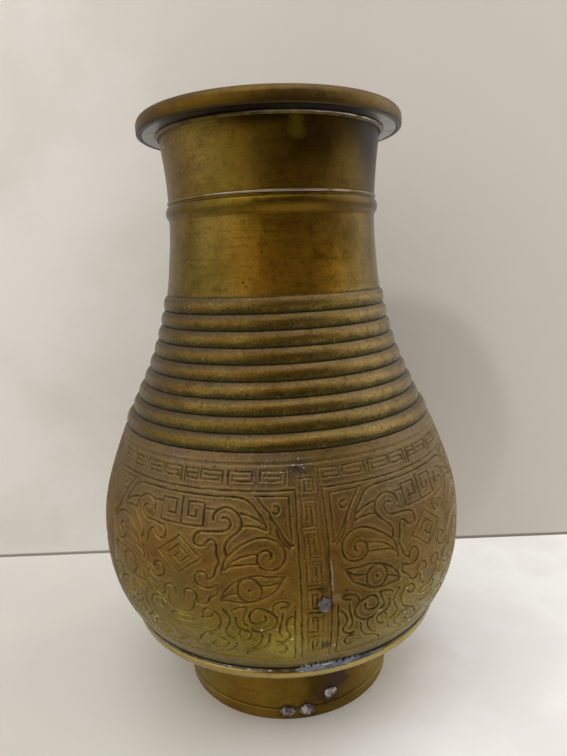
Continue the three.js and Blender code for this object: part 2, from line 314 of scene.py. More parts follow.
def shoulder_section():
    bead_bottom = BEAD_HEIGHT - BEAD_HALF_WIDTH
    return [
        (SPIGOT_RADIUS - SPIGOT_WALL, SPIGOT_BOTTOM),
        (SPIGOT_RADIUS, SPIGOT_BOTTOM),
        (SPIGOT_RADIUS, SHOULDER_SEAM + FIT_GAP / 2),
        *ribs(22),
        *along_height(neck_radius, RIB_TOP, bead_bottom, 30)[:-1],
        *along_height(bead_radius, bead_bottom, SLEEVE_TOP, 44),
        (SOCKET_RADIUS, SLEEVE_TOP),
        (SOCKET_RADIUS, SOCKET_BOTTOM),
        (NECK_INNER, SOCKET_BOTTOM),
        *along_height(neck_inside, SOCKET_BOTTOM - WALL, SHOULDER_SEAM + WALL, 30),
        (SPIGOT_RADIUS - SPIGOT_WALL, SHOULDER_SEAM),
    ]


def upper_neck_section():
    spigot = SOCKET_RADIUS - FIT_GAP
    shoulder = SLEEVE_TOP + JOINT_GAP
    return [
        (NECK_INNER, SOCKET_BOTTOM + FIT_GAP),
        (spigot, SOCKET_BOTTOM + FIT_GAP),
        (spigot, shoulder),
        *along_height(neck_radius, shoulder, NECK_TOP, 40),
        *along_height(lambda z: neck_radius(z) - WALL, NECK_TOP, shoulder, 20),
    ]


def lip_section():
    plate_underside = LIP_TOP - WALL
    flat_from = LIP_RADIUS - LIP_ROUND
    flat_width = flat_from - MOUTH_RADIUS - LIP_EDGE_ROUND
    return [
        (MOUTH_RADIUS, plate_underside),
        (RIM_INNER - WALL / 2, plate_underside),
        (RIM_INNER, plate_underside - WALL / 2),
        (RIM_INNER, LIP_BOTTOM),
        *arc(LIP_RADIUS - LIP_EDGE_ROUND, LIP_BOTTOM + LIP_EDGE_ROUND, LIP_EDGE_ROUND, -90, 0, 10),
        *arc(LIP_RADIUS - LIP_ROUND, LIP_TOP - LIP_ROUND, LIP_ROUND, 0, 90, 20),
        *[(flat_from - flat_width * i / 8, LIP_TOP) for i in range(1, 8)],
        *arc(MOUTH_RADIUS + LIP_EDGE_ROUND, LIP_TOP - LIP_EDGE_ROUND, LIP_EDGE_ROUND, 90, 180, 8),
    ]


def underplate_section():
    top = UNDERPLATE_BOTTOM + UNDERPLATE_THICKNESS
    inner = neck_radius(top) + FIT_GAP
    outer = RIM_INNER - FIT_GAP
    across = [inner + (outer - inner) * i / 8 for i in range(9)]
    return [*((radius, UNDERPLATE_BOTTOM) for radius in across), (outer, top), (inner, top)]


def lip_solder_section():
    top = UNDERPLATE_BOTTOM - FIT_GAP
    return [
        (neck_radius(top - FILLET) + FIT_GAP, top - FILLET),
        *[
            (neck_radius(top) + FIT_GAP + FILLET * (1 - cos(t)), top - FILLET * (1 - sin(t)))
            for t in (radians(a) for a in (20, 40, 60, 80))
        ],
        (neck_radius(top) + FIT_GAP + FILLET, top),
        (neck_radius(top) + FIT_GAP, top),
    ]


def seam_solder_section():
    roll = RIM_ROLL + FIT_GAP
    high, low = arc(RIM_CENTRE, RIM_HEIGHT, roll, 60, 36, 1)
    return [
        high,
        low,
        (RIM_RADIUS + 0.2, low[1] + 0.15),
        (RIM_RADIUS + 0.25, (low[1] + BELLY_BOTTOM) / 2),
        (RIM_RADIUS + 0.1, BELLY_BOTTOM - JOINT_GAP),
    ]


# Selecting and shaping, by the operators that a modeller uses


def close_ends():
    """Fills the open ends of the object in hand."""
    bpy.ops.object.mode_set(mode="EDIT")
    bpy.ops.mesh.select_all(action="SELECT")
    bpy.ops.mesh.fill_holes(sides=0)
    bpy.ops.object.mode_set(mode="OBJECT")


def deselect():
    if bpy.context.object and bpy.context.object.mode != "OBJECT":
        bpy.ops.object.mode_set(mode="OBJECT")
    bpy.ops.object.select_all(action="DESELECT")


def pick(piece):
    deselect()
    piece.select_set(True)
    bpy.context.view_layer.objects.active = piece


def name_piece(piece, name):
    piece.name = name
    piece.data.name = name
    return piece


def spun(name, section, turn=360.0, start=0.0, steps=TURNED_STEPS):
    """Spins a closed section round the axis, from start and through turn, in degrees."""
    deselect()
    bpy.ops.mesh.primitive_circle_add(vertices=len(section), radius=10 * MM, fill_type="NOTHING")
    piece = name_piece(bpy.context.object, name)
    ahead = radians(start)
    for vertex, (radius, height) in zip(piece.data.vertices, section):
        vertex.co = (radius * MM * sin(ahead), -radius * MM * cos(ahead), height * MM)
    bpy.ops.object.mode_set(mode="EDIT")
    bpy.ops.mesh.select_all(action="SELECT")
    bpy.ops.mesh.spin(steps=steps, angle=-radians(turn), center=(0, 0, 0), axis=(0, 0, 1))
    bpy.ops.mesh.select_all(action="SELECT")
    bpy.ops.mesh.remove_doubles(threshold=1e-6)
    bpy.ops.mesh.normals_make_consistent(inside=False)
    bpy.ops.object.mode_set(mode="OBJECT")
    return piece


def smooth(piece, angle=40.0):
    """Shades the piece smooth, but for edges that are sharper than the angle."""
    pick(piece)
    bpy.ops.object.shade_smooth_by_angle(angle=radians(angle))
    return piece


def places(piece):
    """Radius, angle in degrees from -Y towards +X, and height of each vertex, in millimetres."""
    spots = np.empty(len(piece.data.vertices) * 3)
    piece.data.vertices.foreach_get("co", spots)
    x, y, z = spots.reshape(-1, 3).T / MM
    return np.hypot(x, y), np.degrees(np.arctan2(x, -y)), z


def keep_amount(piece, name, amounts):
    """Stores one number a vertex, for the finishes to read."""
    store = piece.data.attributes.new(name, "FLOAT", "POINT")
    store.data.foreach_set("value", np.ascontiguousarray(amounts, dtype=np.float32))


def press(piece, amounts, distance, label):
    """Moves vertices along their normals, by amounts from 0 to 1 times the distance."""
    group = piece.vertex_groups.new(name=label)
    levels = np.round(amounts * WEIGHT_LEVELS).astype(int)
    for level in range(1, WEIGHT_LEVELS + 1):
        members = np.nonzero(levels == level)[0].tolist()
        if members:
            group.add(members, level / WEIGHT_LEVELS, "REPLACE")
    pick(piece)
    shaping = piece.modifiers.new(label, "DISPLACE")
    shaping.vertex_group = label
    shaping.direction = "NORMAL"
    shaping.mid_level = 0
    shaping.strength = distance * MM
    bpy.ops.object.modifier_apply(modifier=label)
    piece.vertex_groups.clear()


def untrue(piece):
    """Moves the piece's points by the lean and the swelling of the old vase."""
    count = len(piece.data.vertices)
    spots = np.empty(count * 3)
    piece.data.vertices.foreach_get("co", spots)
    spots = spots.reshape(-1, 3)
    height = spots[:, 2] / MM
    radius = np.hypot(spots[:, 0], spots[:, 1])
    wider = 1 + np.interp(height, *zip(*SWELLING)) * MM / np.maximum(radius, 10 * MM)
    spots[:, 0] = spots[:, 0] * wider + np.interp(height, *zip(*LEAN)) * MM
    spots[:, 1] *= wider
    piece.data.vertices.foreach_set("co", spots.ravel())
    piece.data.update()


def seat(piece, finish, slot, *nodes):
    """Gives a finished piece its material, and hides the solids that it stands for."""
    untrue(piece)
    piece.data.materials.clear()
    piece.data.materials.append(finish)
    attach(piece, "root")
    if nodes:
        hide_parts(*nodes)
    return piece


# Chased lines of half a panel, in degrees from its axis and millimetres up: the other half mirrors them

CURVES = {
    "cloud scroll": [
        (9.8, 98.9), (9.8, 100.6), (11, 102.2), (13, 103.1), (15.2, 102.7), (16.9, 101), (17.6, 98.6),
        (17.1, 96.3), (15.4, 94.3), (13.9, 92.4), (13.2, 90.4), (13.8, 88.2),
    ],
    "scroll's curl and wave": [
        (12.3, 99.8), (13.4, 100), (14.5, 99), (14.5, 97.4), (13.3, 96), (11, 95.4), (8.5, 95.2),
        (6.2, 94.9), (4.9, 93.8), (4.5, 92.2), (5, 90.7), (6.3, 90.1), (7.6, 90.6), (8.3, 91.9),
        (9.3, 92.8), (10.3, 92.3), (10.9, 90.9), (10.9, 89), (11.5, 87.3), (11.7, 85.6), (11, 83.8),
        (10.6, 82), (10, 80.2), (8.6, 79.1),
    ],
    "nostril": [
        (8.3, 79.6), (8.2, 81), (7, 81.7), (5.6, 81.2), (4.7, 79.5), (5, 77.7), (6.3, 76.3), (8.2, 76),
        (9.8, 76.7), (10.8, 77.5), (11.2, 76.1), (10.8, 74.2), (9.6, 73), (8.6, 72), (8, 70.4),
        (6.8, 69.6), (5.6, 69.9), (5, 71.2), (5.2, 72.8), (4.4, 74.1), (3, 74.5), (1.7, 73.9),
        (1.2, 72.5), (1.5, 71.1),
    ],
    "bridge of the nose": [(4.1, 70.2), (4, 68.6), (3.3, 66.8), (2, 65.4), (0, 65)],
    "mouth": [(0, 63.9), (2, 64), (3.7, 63), (3.2, 62), (1.5, 61.4), (0, 61.3)],
    "whisker": [
        (9.1, 66.3), (8.4, 65), (7.2, 64.4), (6.3, 65.2), (6.5, 67), (8, 68.1), (10, 67.4), (11, 65.6),
        (11.1, 63.2), (10.2, 60.6), (8.2, 58.7), (6, 57.4), (4.6, 55.9), (3.6, 53.8),
    ],
    "outer whisker": [
        (12.1, 69), (13.2, 67), (13.6, 64.5), (13.1, 62), (12.2, 60.2), (12.3, 58.4), (13.6, 57.4),
        (14.7, 55.6), (14.5, 53.4), (13.2, 51.5), (11, 50.2), (8.5, 49.8),
    ],
    "chin curl": [
        (7.6, 57.2), (9.6, 57.1), (11.4, 56.2), (12.2, 54.4), (11.6, 52.6), (10, 51.5), (8.2, 51.6),
        (7.3, 52.6), (8.2, 53.6), (9.6, 54),
    ],
    "chin line": [(0, 57.8), (1.8, 57.9), (3.6, 58.8)],
    "lower chin line": [(0, 52.4), (1.8, 51.8), (4.2, 50.2), (6.6, 49.6)],
    "brow": [
        (12.4, 81), (12.5, 83.4), (13, 86), (14.3, 88.2), (16.3, 90.4), (18.6, 92.4), (21.2, 93.8),
        (24, 94.1), (26.5, 93), (28.2, 91), (28.7, 88.6), (28.3, 86), (27, 84.2), (25.2, 83.5),
        (23.3, 83.9), (22, 85.3), (21.6, 87.2), (22.2, 89), (23.6, 90), (25, 89.3), (25.3, 87.8),
        (24.6, 86.8),
    ],
    "brow leaf": [(13.8, 84.4), (15.2, 86.1), (17.2, 87.5), (19.5, 88.5), (21.9, 89)],
    "lower brow leaf": [(12.9, 82.8), (14.4, 84.2), (17, 85.1), (21.6, 85.6)],
    "upper leaf": [(17.4, 101.4), (19.4, 100.9), (21.5, 99.8), (23.4, 98.4)],
    "lower leaf": [(17.8, 97.5), (20, 97.6), (22.4, 97.2), (24.1, 96.4)],
    "frame's sweep": [
        (15, 106.5), (16.6, 106.4), (18.6, 105.8), (20.4, 104.3), (22, 102.1), (23.4, 99.6), (24.2, 96.8),
    ],
    "corner blade": [
        (21.8, 106.2), (23.5, 103.7), (25, 101.6), (25.7, 99.8), (27, 97.4), (28.3, 94.7), (29.6, 92.2),
        (30.5, 90.9), (31, 91.4),
    ],
    "corner blade's edge": [(26.7, 96.6), (27.6, 93.9), (28.7, 91.8), (29.9, 90.1)],
    "comma": [(26.6, 103.8), (27.6, 103.2), (27.6, 101.9), (26.7, 101.3), (26.1, 102)],
    "upper lid": [
        (11.9, 72.8), (12.8, 75.2), (14.5, 77.7), (16.7, 79.7), (19.2, 81), (21.8, 81.6), (24.5, 81.2),
        (28.2, 81.3),
    ],
    "lower lid": [
        (12.2, 72), (15, 72), (18, 71.8), (21, 72.5), (23.5, 74.2), (25.8, 76.2), (27.3, 78.7),
        (28.2, 81.2),
    ],
    "inner corner": [(12.3, 72.8), (14, 74.3), (16.2, 75.2)],
    "outer corner": [(22.8, 78.2), (24.6, 78.3), (26.3, 79), (27.6, 80.2)],
    "cheek scroll": [
        (22.9, 67.2), (23.1, 65.8), (22.3, 64.4), (20.6, 64), (19.3, 64.9), (18.9, 66.5), (19.4, 68.2),
        (20.9, 69.6), (22.9, 69.5), (24.7, 68.3), (25.7, 66.3), (25.7, 64), (24.6, 61.9), (22.8, 60.6),
        (20.7, 60.6), (19.2, 61.4),
    ],
    "cheek's inner tail": [(21.6, 60.2), (21.8, 58.2), (21.3, 56), (20.4, 54.2), (18.8, 53)],
    "cheek's outer tail": [
        (24, 59.6), (23.6, 57.5), (23.2, 55.2), (22, 53.2), (19.8, 52.1), (17.8, 50.8), (16.7, 49.2),
    ],
    "fold by the cheek": [(18.4, 69.9), (18, 68), (17.2, 66), (17.2, 64.2), (18.3, 63)],
    "jaw hook": [
        (15.3, 66.2), (15.2, 64), (15.9, 62), (17.4, 61.1), (18.8, 60.1), (18.9, 58.2), (17.9, 56.6),
        (16.4, 56.2),
    ],
    "jaw hook's curl": [(16.4, 60.4), (15.6, 59.2), (15.8, 57.8)],
    "pouch under the eye": [(14.4, 68.6), (15.6, 69.3), (17.2, 70.1), (18.6, 70)],
    "ear": [(24.8, 69.2), (25.2, 70.8), (26.4, 72), (28, 72.3), (29.3, 71.5), (28.6, 70.4), (27.2, 70.3)],
    "ear's lobe": [(27.5, 68.2), (27.2, 65.6), (26.6, 62.8), (26.2, 60.2), (26.9, 58.2)],
    "fold by the bar": [
        (29.7, 66.6), (28.6, 65), (28.1, 62.8), (28.2, 60.8), (28.9, 59.2), (28.6, 57.2), (27.2, 56),
        (25.6, 56.2),
    ],
    "low curl": [(25.4, 54.6), (27, 54.8), (27.9, 53.4), (27.8, 51.6), (26.8, 50.6), (25.6, 51.3)],
}

CORNERED = {
    "square horn": [
        (0, 105.3), (0, 96.5), (7, 96.5), (7, 104), (2, 104), (2, 99.4), (4.7, 99.4), (4.7, 101.6),
    ],
    "link to the scroll": [(7, 102.4), (10.6, 102.3)],
    "frame's top": [(0, 106.5), (15.4, 106.5)],
    "corner's top": [(21, 106.8), (30.4, 106.6), (30.6, 91.5)],
    "diamond": [(0, 92.7), (6.7, 86.3), (0, 79.8)],
    "bar's inner line": [(30.4, 69), (30.2, 47), (0, 47)],
    "bar's outer line": [(0, 108.4), (32.2, 108.4), (32.1, 46.5)],
}

DIAMOND_HOOK = [(-3.3, 86.3), (0, 89.6), (3.3, 86.3), (0.6, 83.6), (-1.2, 85.4), (0.2, 86.9)]

IRIS = (19.4, 76.4)
IRIS_HALVES = (3.1, 4.2)  # half its width and half its height
PUPIL_HALVES = (0.25, 0.35)

# The bar between two panels, from the same axis: it isn't mirrored

STRIP_LEFT = 33.7
STRIP_RIGHT = 37.6
STRIP_SPANS = (
    (111.8, 107.7), (104.8, 96.8), (95.6, 86.9), (85.6, 77.4), (76.0, 69.0), (67.3, 59.4), (57.2, 50.6),
)

# The key-pattern band above the panels

FRET_TOP = 114.5
FRET_BOTTOM = 109.9
FRET_SPANS = (
    (-32.6, -26.4), (-25.3, -18.2), (-16.8, -9.4), (-8.5, -2.0), (-0.6, 3.6), (4.7, 11.6), (13.3, 20.5),
    (22.7, 29.9),
)
BORDER_HEIGHT = 116.6

# How the lines are cut: half the width and the depth, as shares of a curved line's

CORNERED_CUT = (0.82, 0.85)
PUPIL_CUT = (0.95, 1.1)
FRET_CUT = (0.78, 0.7)
STRIP_CUT = (0.75, 0.6)
BORDER_CUT = (1.1, 0.3)
WAVER = 0.22  # how far the chaser's hand strays, in degrees and in millimetres
FRET_WAVER = 0.25
STRIP_WAVER = 0.2
BURR_PLACE = 1.65  # distance of the burr from the line's middle, in half widths
BURR_SPREAD = 0.6
CUT_REACH = 3.4  # how far a line and its burrs reach, in half widths


def smooth_line(points, samples=8):
    """A curve through the points, as close points along it."""
    ends = [points[0], *points, points[-1]]
    line = []
    for before, start, end, after in zip(ends, ends[1:], ends[2:], ends[3:]):
        for i in range(samples):
            t = i / samples
            line.append(tuple(
                0.5 * (
                    2 * b + (c - a) * t
                    + (2 * a - 5 * b + 4 * c - d) * t * t
                    + (3 * b - a - 3 * c + d) * t ** 3
                )
                for a, b, c, d in zip(before, start, end, after)
            ))
    line.append(points[-1])
    return line


def close_points(points, longest=1.2):
    """Straight runs cut into short steps, so that the chaser's hand can waver along them."""
    line = [points[0]]
    for (x0, y0), (x1, y1) in zip(points, points[1:]):
        cuts = max(1, int(hypot(1.3 * (x1 - x0), y1 - y0) / longest))
        line.extend((x0 + (x1 - x0) * i / cuts, y0 + (y1 - y0) * i / cuts) for i in range(1, cuts + 1))
    return line


def wavering(points, amount):
    """The same line, off by up to about the amount, as cut by hand."""
    shifted = []
    for x, y in points:
        place = Vector((x * 0.32, y * 0.25, 0))
        shifted.append((
            x + amount * noise.noise(place),
            y + amount * noise.noise(place + Vector((7.3, 2.1, 5.2))),
        ))
    return shifted


def fret_units():
    """Square spirals of the band, each the mirror image of the one before."""
    level = (FRET_TOP - FRET_BOTTOM) / 3
    units = []
    for count, (left, right) in enumerate(FRET_SPANS):
        if count % 2:
            left, right = right, left
        inward = 0.19 * (right - left)
        units.append([
            (left, FRET_BOTTOM), (left, FRET_TOP), (right, FRET_TOP), (right, FRET_BOTTOM + level),
            (left + inward, FRET_BOTTOM + level), (left + inward, FRET_TOP - level),
            (right - inward, FRET_TOP - level),
        ])
    return units


def strip_units():
    """Square spirals stacked down the bar."""
    units = []
    for count, (top, bottom) in enumerate(STRIP_SPANS):
        left, right = (STRIP_LEFT, STRIP_RIGHT) if count % 2 == 0 else (STRIP_RIGHT, STRIP_LEFT)
        across = (right - left) / 3
        down = (top - bottom) / 4
        units.append([
            (left, bottom), (left, top), (right, top), (right, bottom), (left + across, bottom),
            (left + across, top - down), (right - across, top - down), (right - across, bottom + down),
        ])
    return units


class Chasing:
    """Depth of the chased lines over one panel, on fine cells of the belly's surface."""

    CELL = 0.1

    def __init__(self, profile):
        radii, heights = np.array(profile).T
        runs = np.hypot(np.diff(radii), np.diff(heights))
        self.heights = heights
        self.lengths = np.concatenate([[0], np.cumsum(runs)])
        first, last = np.interp([CHASED_FROM, CHASED_TO + 0.6], heights, self.lengths)
        self.first = first
        self.rows = np.arange(first, last, self.CELL)
        self.turns = np.linspace(-PANEL_TURN / 2, PANEL_TURN / 2, 961)
        row_radii = np.interp(self.rows, self.lengths, radii)
        self.degree = row_radii * pi / 180
        self.cut = np.zeros((len(self.rows), len(self.turns)))
        self.edge = np.zeros_like(self.cut)

    def line(self, points, half_width, depth):
        """Cuts one line. Its profile is a round groove between two broad soft rises."""
        where = [(x, float(np.interp(y, self.heights, self.lengths))) for x, y in points]
        reach = CUT_REACH * half_width
        column = self.turns[1] - self.turns[0]
        for (x0, y0), (x1, y1) in zip(where, where[1:]):
            low = max(0, int((min(y0, y1) - reach - self.first) / self.CELL))
            high = min(len(self.rows), int((max(y0, y1) + reach - self.first) / self.CELL) + 2)
            if high <= low:
                continue
            spread = reach / self.degree[low:high].min()
            left = max(0, int((min(x0, x1) - spread - self.turns[0]) / column))
            right = min(len(self.turns), int((max(x0, x1) + spread - self.turns[0]) / column) + 2)
            if right <= left:
                continue
            degree = self.degree[low:high, None]
            across = (self.turns[None, left:right] - x0) * degree
            up = self.rows[low:high, None] - y0
            run_across, run_up = (x1 - x0) * degree, y1 - y0
            run = run_across ** 2 + run_up ** 2 + 1e-9
            share = np.clip((across * run_across + up * run_up) / run, 0, 1)
            off = np.hypot(across - share * run_across, up - share * run_up) / half_width
            grain = 0.82 + 0.5 * noise.noise(Vector((x0 * 0.5, y0 * 0.4, 3)))
            groove = depth * grain * (1 - np.minimum(off, 1) ** 2) ** 1.5
            burr = np.exp(-(((off - BURR_PLACE) / BURR_SPREAD) ** 2))
            block = (slice(low, high), slice(left, right))
            np.maximum(self.cut[block], groove, out=self.cut[block])
            np.maximum(self.edge[block], burr, out=self.edge[block])

    def both(self, points, half_width, depth):
        """Cuts a line on both sides of the panel's axis."""
        for side in (1, -1):
            self.line(wavering([(side * x, y) for x, y in points], WAVER), half_width, depth)

    def at(self, table, turns, lengths):
        """Reads a table between its cells."""
        column = (turns - self.turns[0]) / (self.turns[1] - self.turns[0])
        row = (lengths - self.first) / self.CELL
        inside = (row > 0) & (row < len(self.rows) - 1)
        column = np.clip(column, 0, len(self.turns) - 1.001)
        row = np.clip(row, 0, len(self.rows) - 1.001)
        left, low = column.astype(int), row.astype(int)
        across, up = column - left, row - low
        below = table[low, left] * (1 - across) + table[low, left + 1] * across
        above = table[low + 1, left] * (1 - across) + table[low + 1, left + 1] * across
        return np.where(inside, below * (1 - up) + above * up, 0)


def oval(centre, halves, step):
    """A closed oval, from half its width in degrees and half its height in millimetres."""
    (x, y), (wide, tall) = centre, halves
    return [(x + wide * cos(radians(t)), y + tall * sin(radians(t))) for t in range(0, 361, step)]


def chase(profile, sizes):
    """Cuts the whole design of one panel."""
    chasing = Chasing(profile)
    wide, deep = sizes.line_width / 2 / MM, sizes.line_depth / MM

    def cut(shares):
        return shares[0] * wide, shares[1] * deep

    for points in CURVES.values():
        chasing.both(smooth_line(points), wide, deep)
    for points in CORNERED.values():
        chasing.both(close_points(points), *cut(CORNERED_CUT))
    chasing.line(wavering(close_points(DIAMOND_HOOK), WAVER), *cut(CORNERED_CUT))
    chasing.both(oval(IRIS, IRIS_HALVES, 10), wide, deep)
    chasing.both(oval(IRIS, PUPIL_HALVES, 45), *cut(PUPIL_CUT))
    for points in fret_units():
        chasing.line(wavering(close_points(points), FRET_WAVER), *cut(FRET_CUT))
    for points in strip_units():
        for turn in (0, -PANEL_TURN):
            line = [(x + turn, y) for x, y in wavering(close_points(points), STRIP_WAVER)]
            chasing.line(line, *cut(STRIP_CUT))
    border = [(-PANEL_TURN / 2, BORDER_HEIGHT), (PANEL_TURN / 2, BORDER_HEIGHT)]
    chasing.line(border, *cut(BORDER_CUT))
    return chasing


# Shader maths


class Shade:
    """A socket of a finish, so that shader maths reads as plain Python."""

    def __init__(self, finish, socket):
        self.finish = finish
        self.socket = socket

    def math(self, operation, *others):
        values = dict(enumerate([self, *others]))
        return self.finish.node("ShaderNodeMath", {"operation": operation}, values)

    def __add__(self, other):
        return self.math("ADD", other)

    def __sub__(self, other):
        return self.math("SUBTRACT", other)

    def __mul__(self, other):
        return self.math("MULTIPLY", other)

    def __rsub__(self, other):
        return self.finish.node("ShaderNodeMath", {"operation": "SUBTRACT"}, {0: other, 1: self})

    __radd__ = __add__
    __rmul__ = __mul__

    def most(self, other):
        return self.math("MAXIMUM", other)

    def ramp(self, low, high):
        """0 at low, 1 at high, and level beyond them."""
        ends = {"Value": self, "From Min": low, "From Max": high}
        settings = {"interpolation_type": "SMOOTHSTEP", "clamp": True}
        return self.finish.node("ShaderNodeMapRange", settings, ends)

    def fade(self, name):
        """0 at the first and 1 at the second of two places in FADES."""
        return self.ramp(*FADES[name])


class Finish:
    """A finish made of nodes. One method adds every node."""

    def __init__(self, name, world=None):
        self.material = world or bpy.data.materials.new(name)
        self.material.use_nodes = True
        self.tree = self.material.node_tree
        self.tree.nodes.clear()
        self.coordinates = None

    def node(self, kind, settings=None, inputs=None, output=0):
        """Adds a node: its settings first, then the values or links of its sockets."""
        node = self.tree.nodes.new(kind)
        for key, value in (settings or {}).items():
            setattr(node, key, value)
        for key, value in (inputs or {}).items():
            if isinstance(value, Shade):
                self.tree.links.new(value.socket, node.inputs[key])
            else:
                if node.inputs[key].type == "RGBA" and len(value) == 3:
                    value = (*value, 1)
                node.inputs[key].default_value = value
        return Shade(self, node.outputs[output]) if node.outputs else None

    @property
    def place(self):
        """Object coordinates, from one node for the whole finish."""
        if self.coordinates is None:
            self.coordinates = self.node("ShaderNodeTexCoord", output="Object")
        return self.coordinates

    def axis(self, name):
        """One coordinate of the place, in millimetres."""
        return self.node("ShaderNodeSeparateXYZ", inputs={0: self.place}, output=name) * (1 / MM)

    def stored(self, name):
        """A number kept on the vertices."""
        return self.node("ShaderNodeAttribute", {"attribute_name": name}, output="Fac")

    def grain(self, size, detail=3.0, roughness=0.55, stretch=(1, 1, 1), shift=0.0):
        """Noise from 0 to 1 with grains of about that size in millimetres."""
        scale = tuple(1 / (size * MM) * s for s in stretch)
        where = self.node("ShaderNodeMapping", inputs={
            "Vector": self.place, "Scale": scale, "Location": (shift, 1.7 * shift, 2.3 * shift),
        })
        return self.node("ShaderNodeTexNoise", inputs={
            "Vector": where, "Scale": 1.0, "Detail": detail, "Roughness": roughness,
        })

    def cells(self, size, shift=0.0):
        """Distance from scattered points, which lie about that far apart in millimetres."""
        where = self.node("ShaderNodeMapping", inputs={
            "Vector": self.place, "Scale": (1 / (size * MM),) * 3, "Location": (shift, shift, shift),
        })
        return self.node("ShaderNodeTexVoronoi", inputs={"Vector": where, "Scale": 1.0})

    def mark(self, name):
        """One of the MARKS: 1 within reach of its place, with a ragged edge."""
        angle, radius, height, reach, soft, ragged, shift = MARKS[name]
        centre = (radius * MM * sin(radians(angle)), -radius * MM * cos(radians(angle)), height * MM)
        ends = {0: self.place, 1: centre}
        away = self.node("ShaderNodeVectorMath", {"operation": "DISTANCE"}, ends, output="Value")
        away = away * (1 / (reach * MM)) + (self.grain(reach * 0.6, 3, shift=shift) - 0.5) * ragged * 2
        return away.ramp(1 + soft, 1 - soft)

    def drift(self, amount, *grain, shift=0.0):
        """Noise on both sides of 0 that spans about that amount, for edges that wander."""
        return (self.grain(*grain, shift=shift) - 0.5) * amount

    def front(self):
        """1 on the front half and 0 behind."""
        return self.axis("Y").fade("front")

    def mix(self, factor, first, second):
        """Goes from the first colour to the second."""
        return self.node("ShaderNodeMix", {"data_type": "RGBA"}, {0: factor, 6: first, 7: second}, output=2)

    def warmer_front(self, colour, strength):
        """Takes green and blue out of the colour across the front."""
        across = self.axis("X") + self.drift(16, 20, 3, 0.6, shift=7.1)
        front = across.fade("warm_left") * across.fade("warm_right") * self.front()
        settings = {"data_type": "RGBA", "blend_type": "MULTIPLY"}
        inputs = {0: front * strength, 6: colour, 7: FRONT_TINT}
        return self.node("ShaderNodeMix", settings, inputs, output=2)

    def shader(self, colour, roughness, metallic, normal):
        """The metal's own shader, which closes the finish."""
        self.close(self.node("ShaderNodeBsdfPrincipled", inputs={
            "Base Color": colour, "Roughness": roughness, "Metallic": metallic, "Normal": normal,
        }))
        return self.material

    def close(self, surface):
        """Joins the surface to the output."""
        kind = "World" if isinstance(self.material, bpy.types.World) else "Material"
        self.node("ShaderNodeOutput" + kind, inputs={"Surface": surface})

    def blend(self, factor, first, second):
        """Goes from the first shader to the second."""
        return self.node("ShaderNodeMixShader", inputs={0: factor, 1: first, 2: second})

    def glow(self, colour):
        """Plain light of that colour."""
        return self.node("ShaderNodeEmission", inputs={"Color": colour, "Strength": 1.0})

    def distance(self):
        """Distance from the vase's foot, in metres."""
        return self.node("ShaderNodeVectorMath", {"operation": "LENGTH"}, {0: self.place}, output="Value")

    def bump(self, height, distance, under=None):
        """Raises the surface by the height times the distance in millimetres."""
        inputs = {"Strength": 1.0, "Distance": distance * MM, "Height": height}
        if under is not None:
            inputs["Normal"] = under
        return self.node("ShaderNodeBump", inputs=inputs)


# Finishes of the vase, with the colours of their stains, specks and single marks, and of painted light and
# shade

RUST = (0.050, 0.020, 0.010)
PIT = (0.008, 0.006, 0.004)
FRONT_TINT = (1.0, 0.80, 0.22)
NECK_BELOW_BEAD = (0.30, 0.20, 0.04)
NECK_PALE = (0.36, 0.21, 0.035)
NECK_STREAK = (0.17, 0.13, 0.010)
NECK_RIGHT = (0.16, 0.105, 0.012)
PAINTED_NECK_SHADE = (0.012, 0.005, 0.001)
LIP_LIGHTER = (0.24, 0.18, 0.085)
LIP_TIN_IN_SHADE = (0.040, 0.034, 0.028)
LIP_SPECKS = (0.34, 0.29, 0.20)
TIN_STAIN = (0.030, 0.024, 0.018)
FILLET_BROWN = (0.100, 0.072, 0.020)
FILLET_DARK = (0.045, 0.032, 0.012)
FILLET_BARE = (0.50, 0.47, 0.43)
WIPED_DARK = (0.040, 0.043, 0.048)
WIPED = (0.17, 0.18, 0.20)
WIPED_BRIGHT = (0.46, 0.47, 0.50)
SEAM_DARK = (0.055, 0.044, 0.016)
SEAM_OLIVE = (0.15, 0.12, 0.045)
SEAM_GREY = (0.17, 0.16, 0.12)
DAB = (0.62, 0.56, 0.54)
DAB_STAIN = (0.085, 0.050, 0.036)
SPLASH = (0.20, 0.165, 0.185)
SPLASH_STAIN = (0.030, 0.019, 0.022)
RIBS_SHINE = (0.36, 0.27, 0.12)
RIBS_SPECKS = (0.32, 0.27, 0.17)
BEAD_WEAR_AND_HIGHLIGHT = (0.42, 0.35, 0.27)
BELLY_REFLECTION = (0.33, 0.29, 0.04)
BELLY_LIT = (0.32, 0.26, 0.07)
BELLY_RIGHT = (0.26, 0.19, 0.10)
BELLY_FRONT_LIGHT = (0.46, 0.31, 0.14)
GLINTS = (0.74, 0.70, 0.58)
FLAKES_DARK = (0.045, 0.045, 0.045)
FLAKES = (0.58, 0.56, 0.53)
SCRATCH = (0.42, 0.38, 0.32)
BLOB = (0.26, 0.17, 0.085)
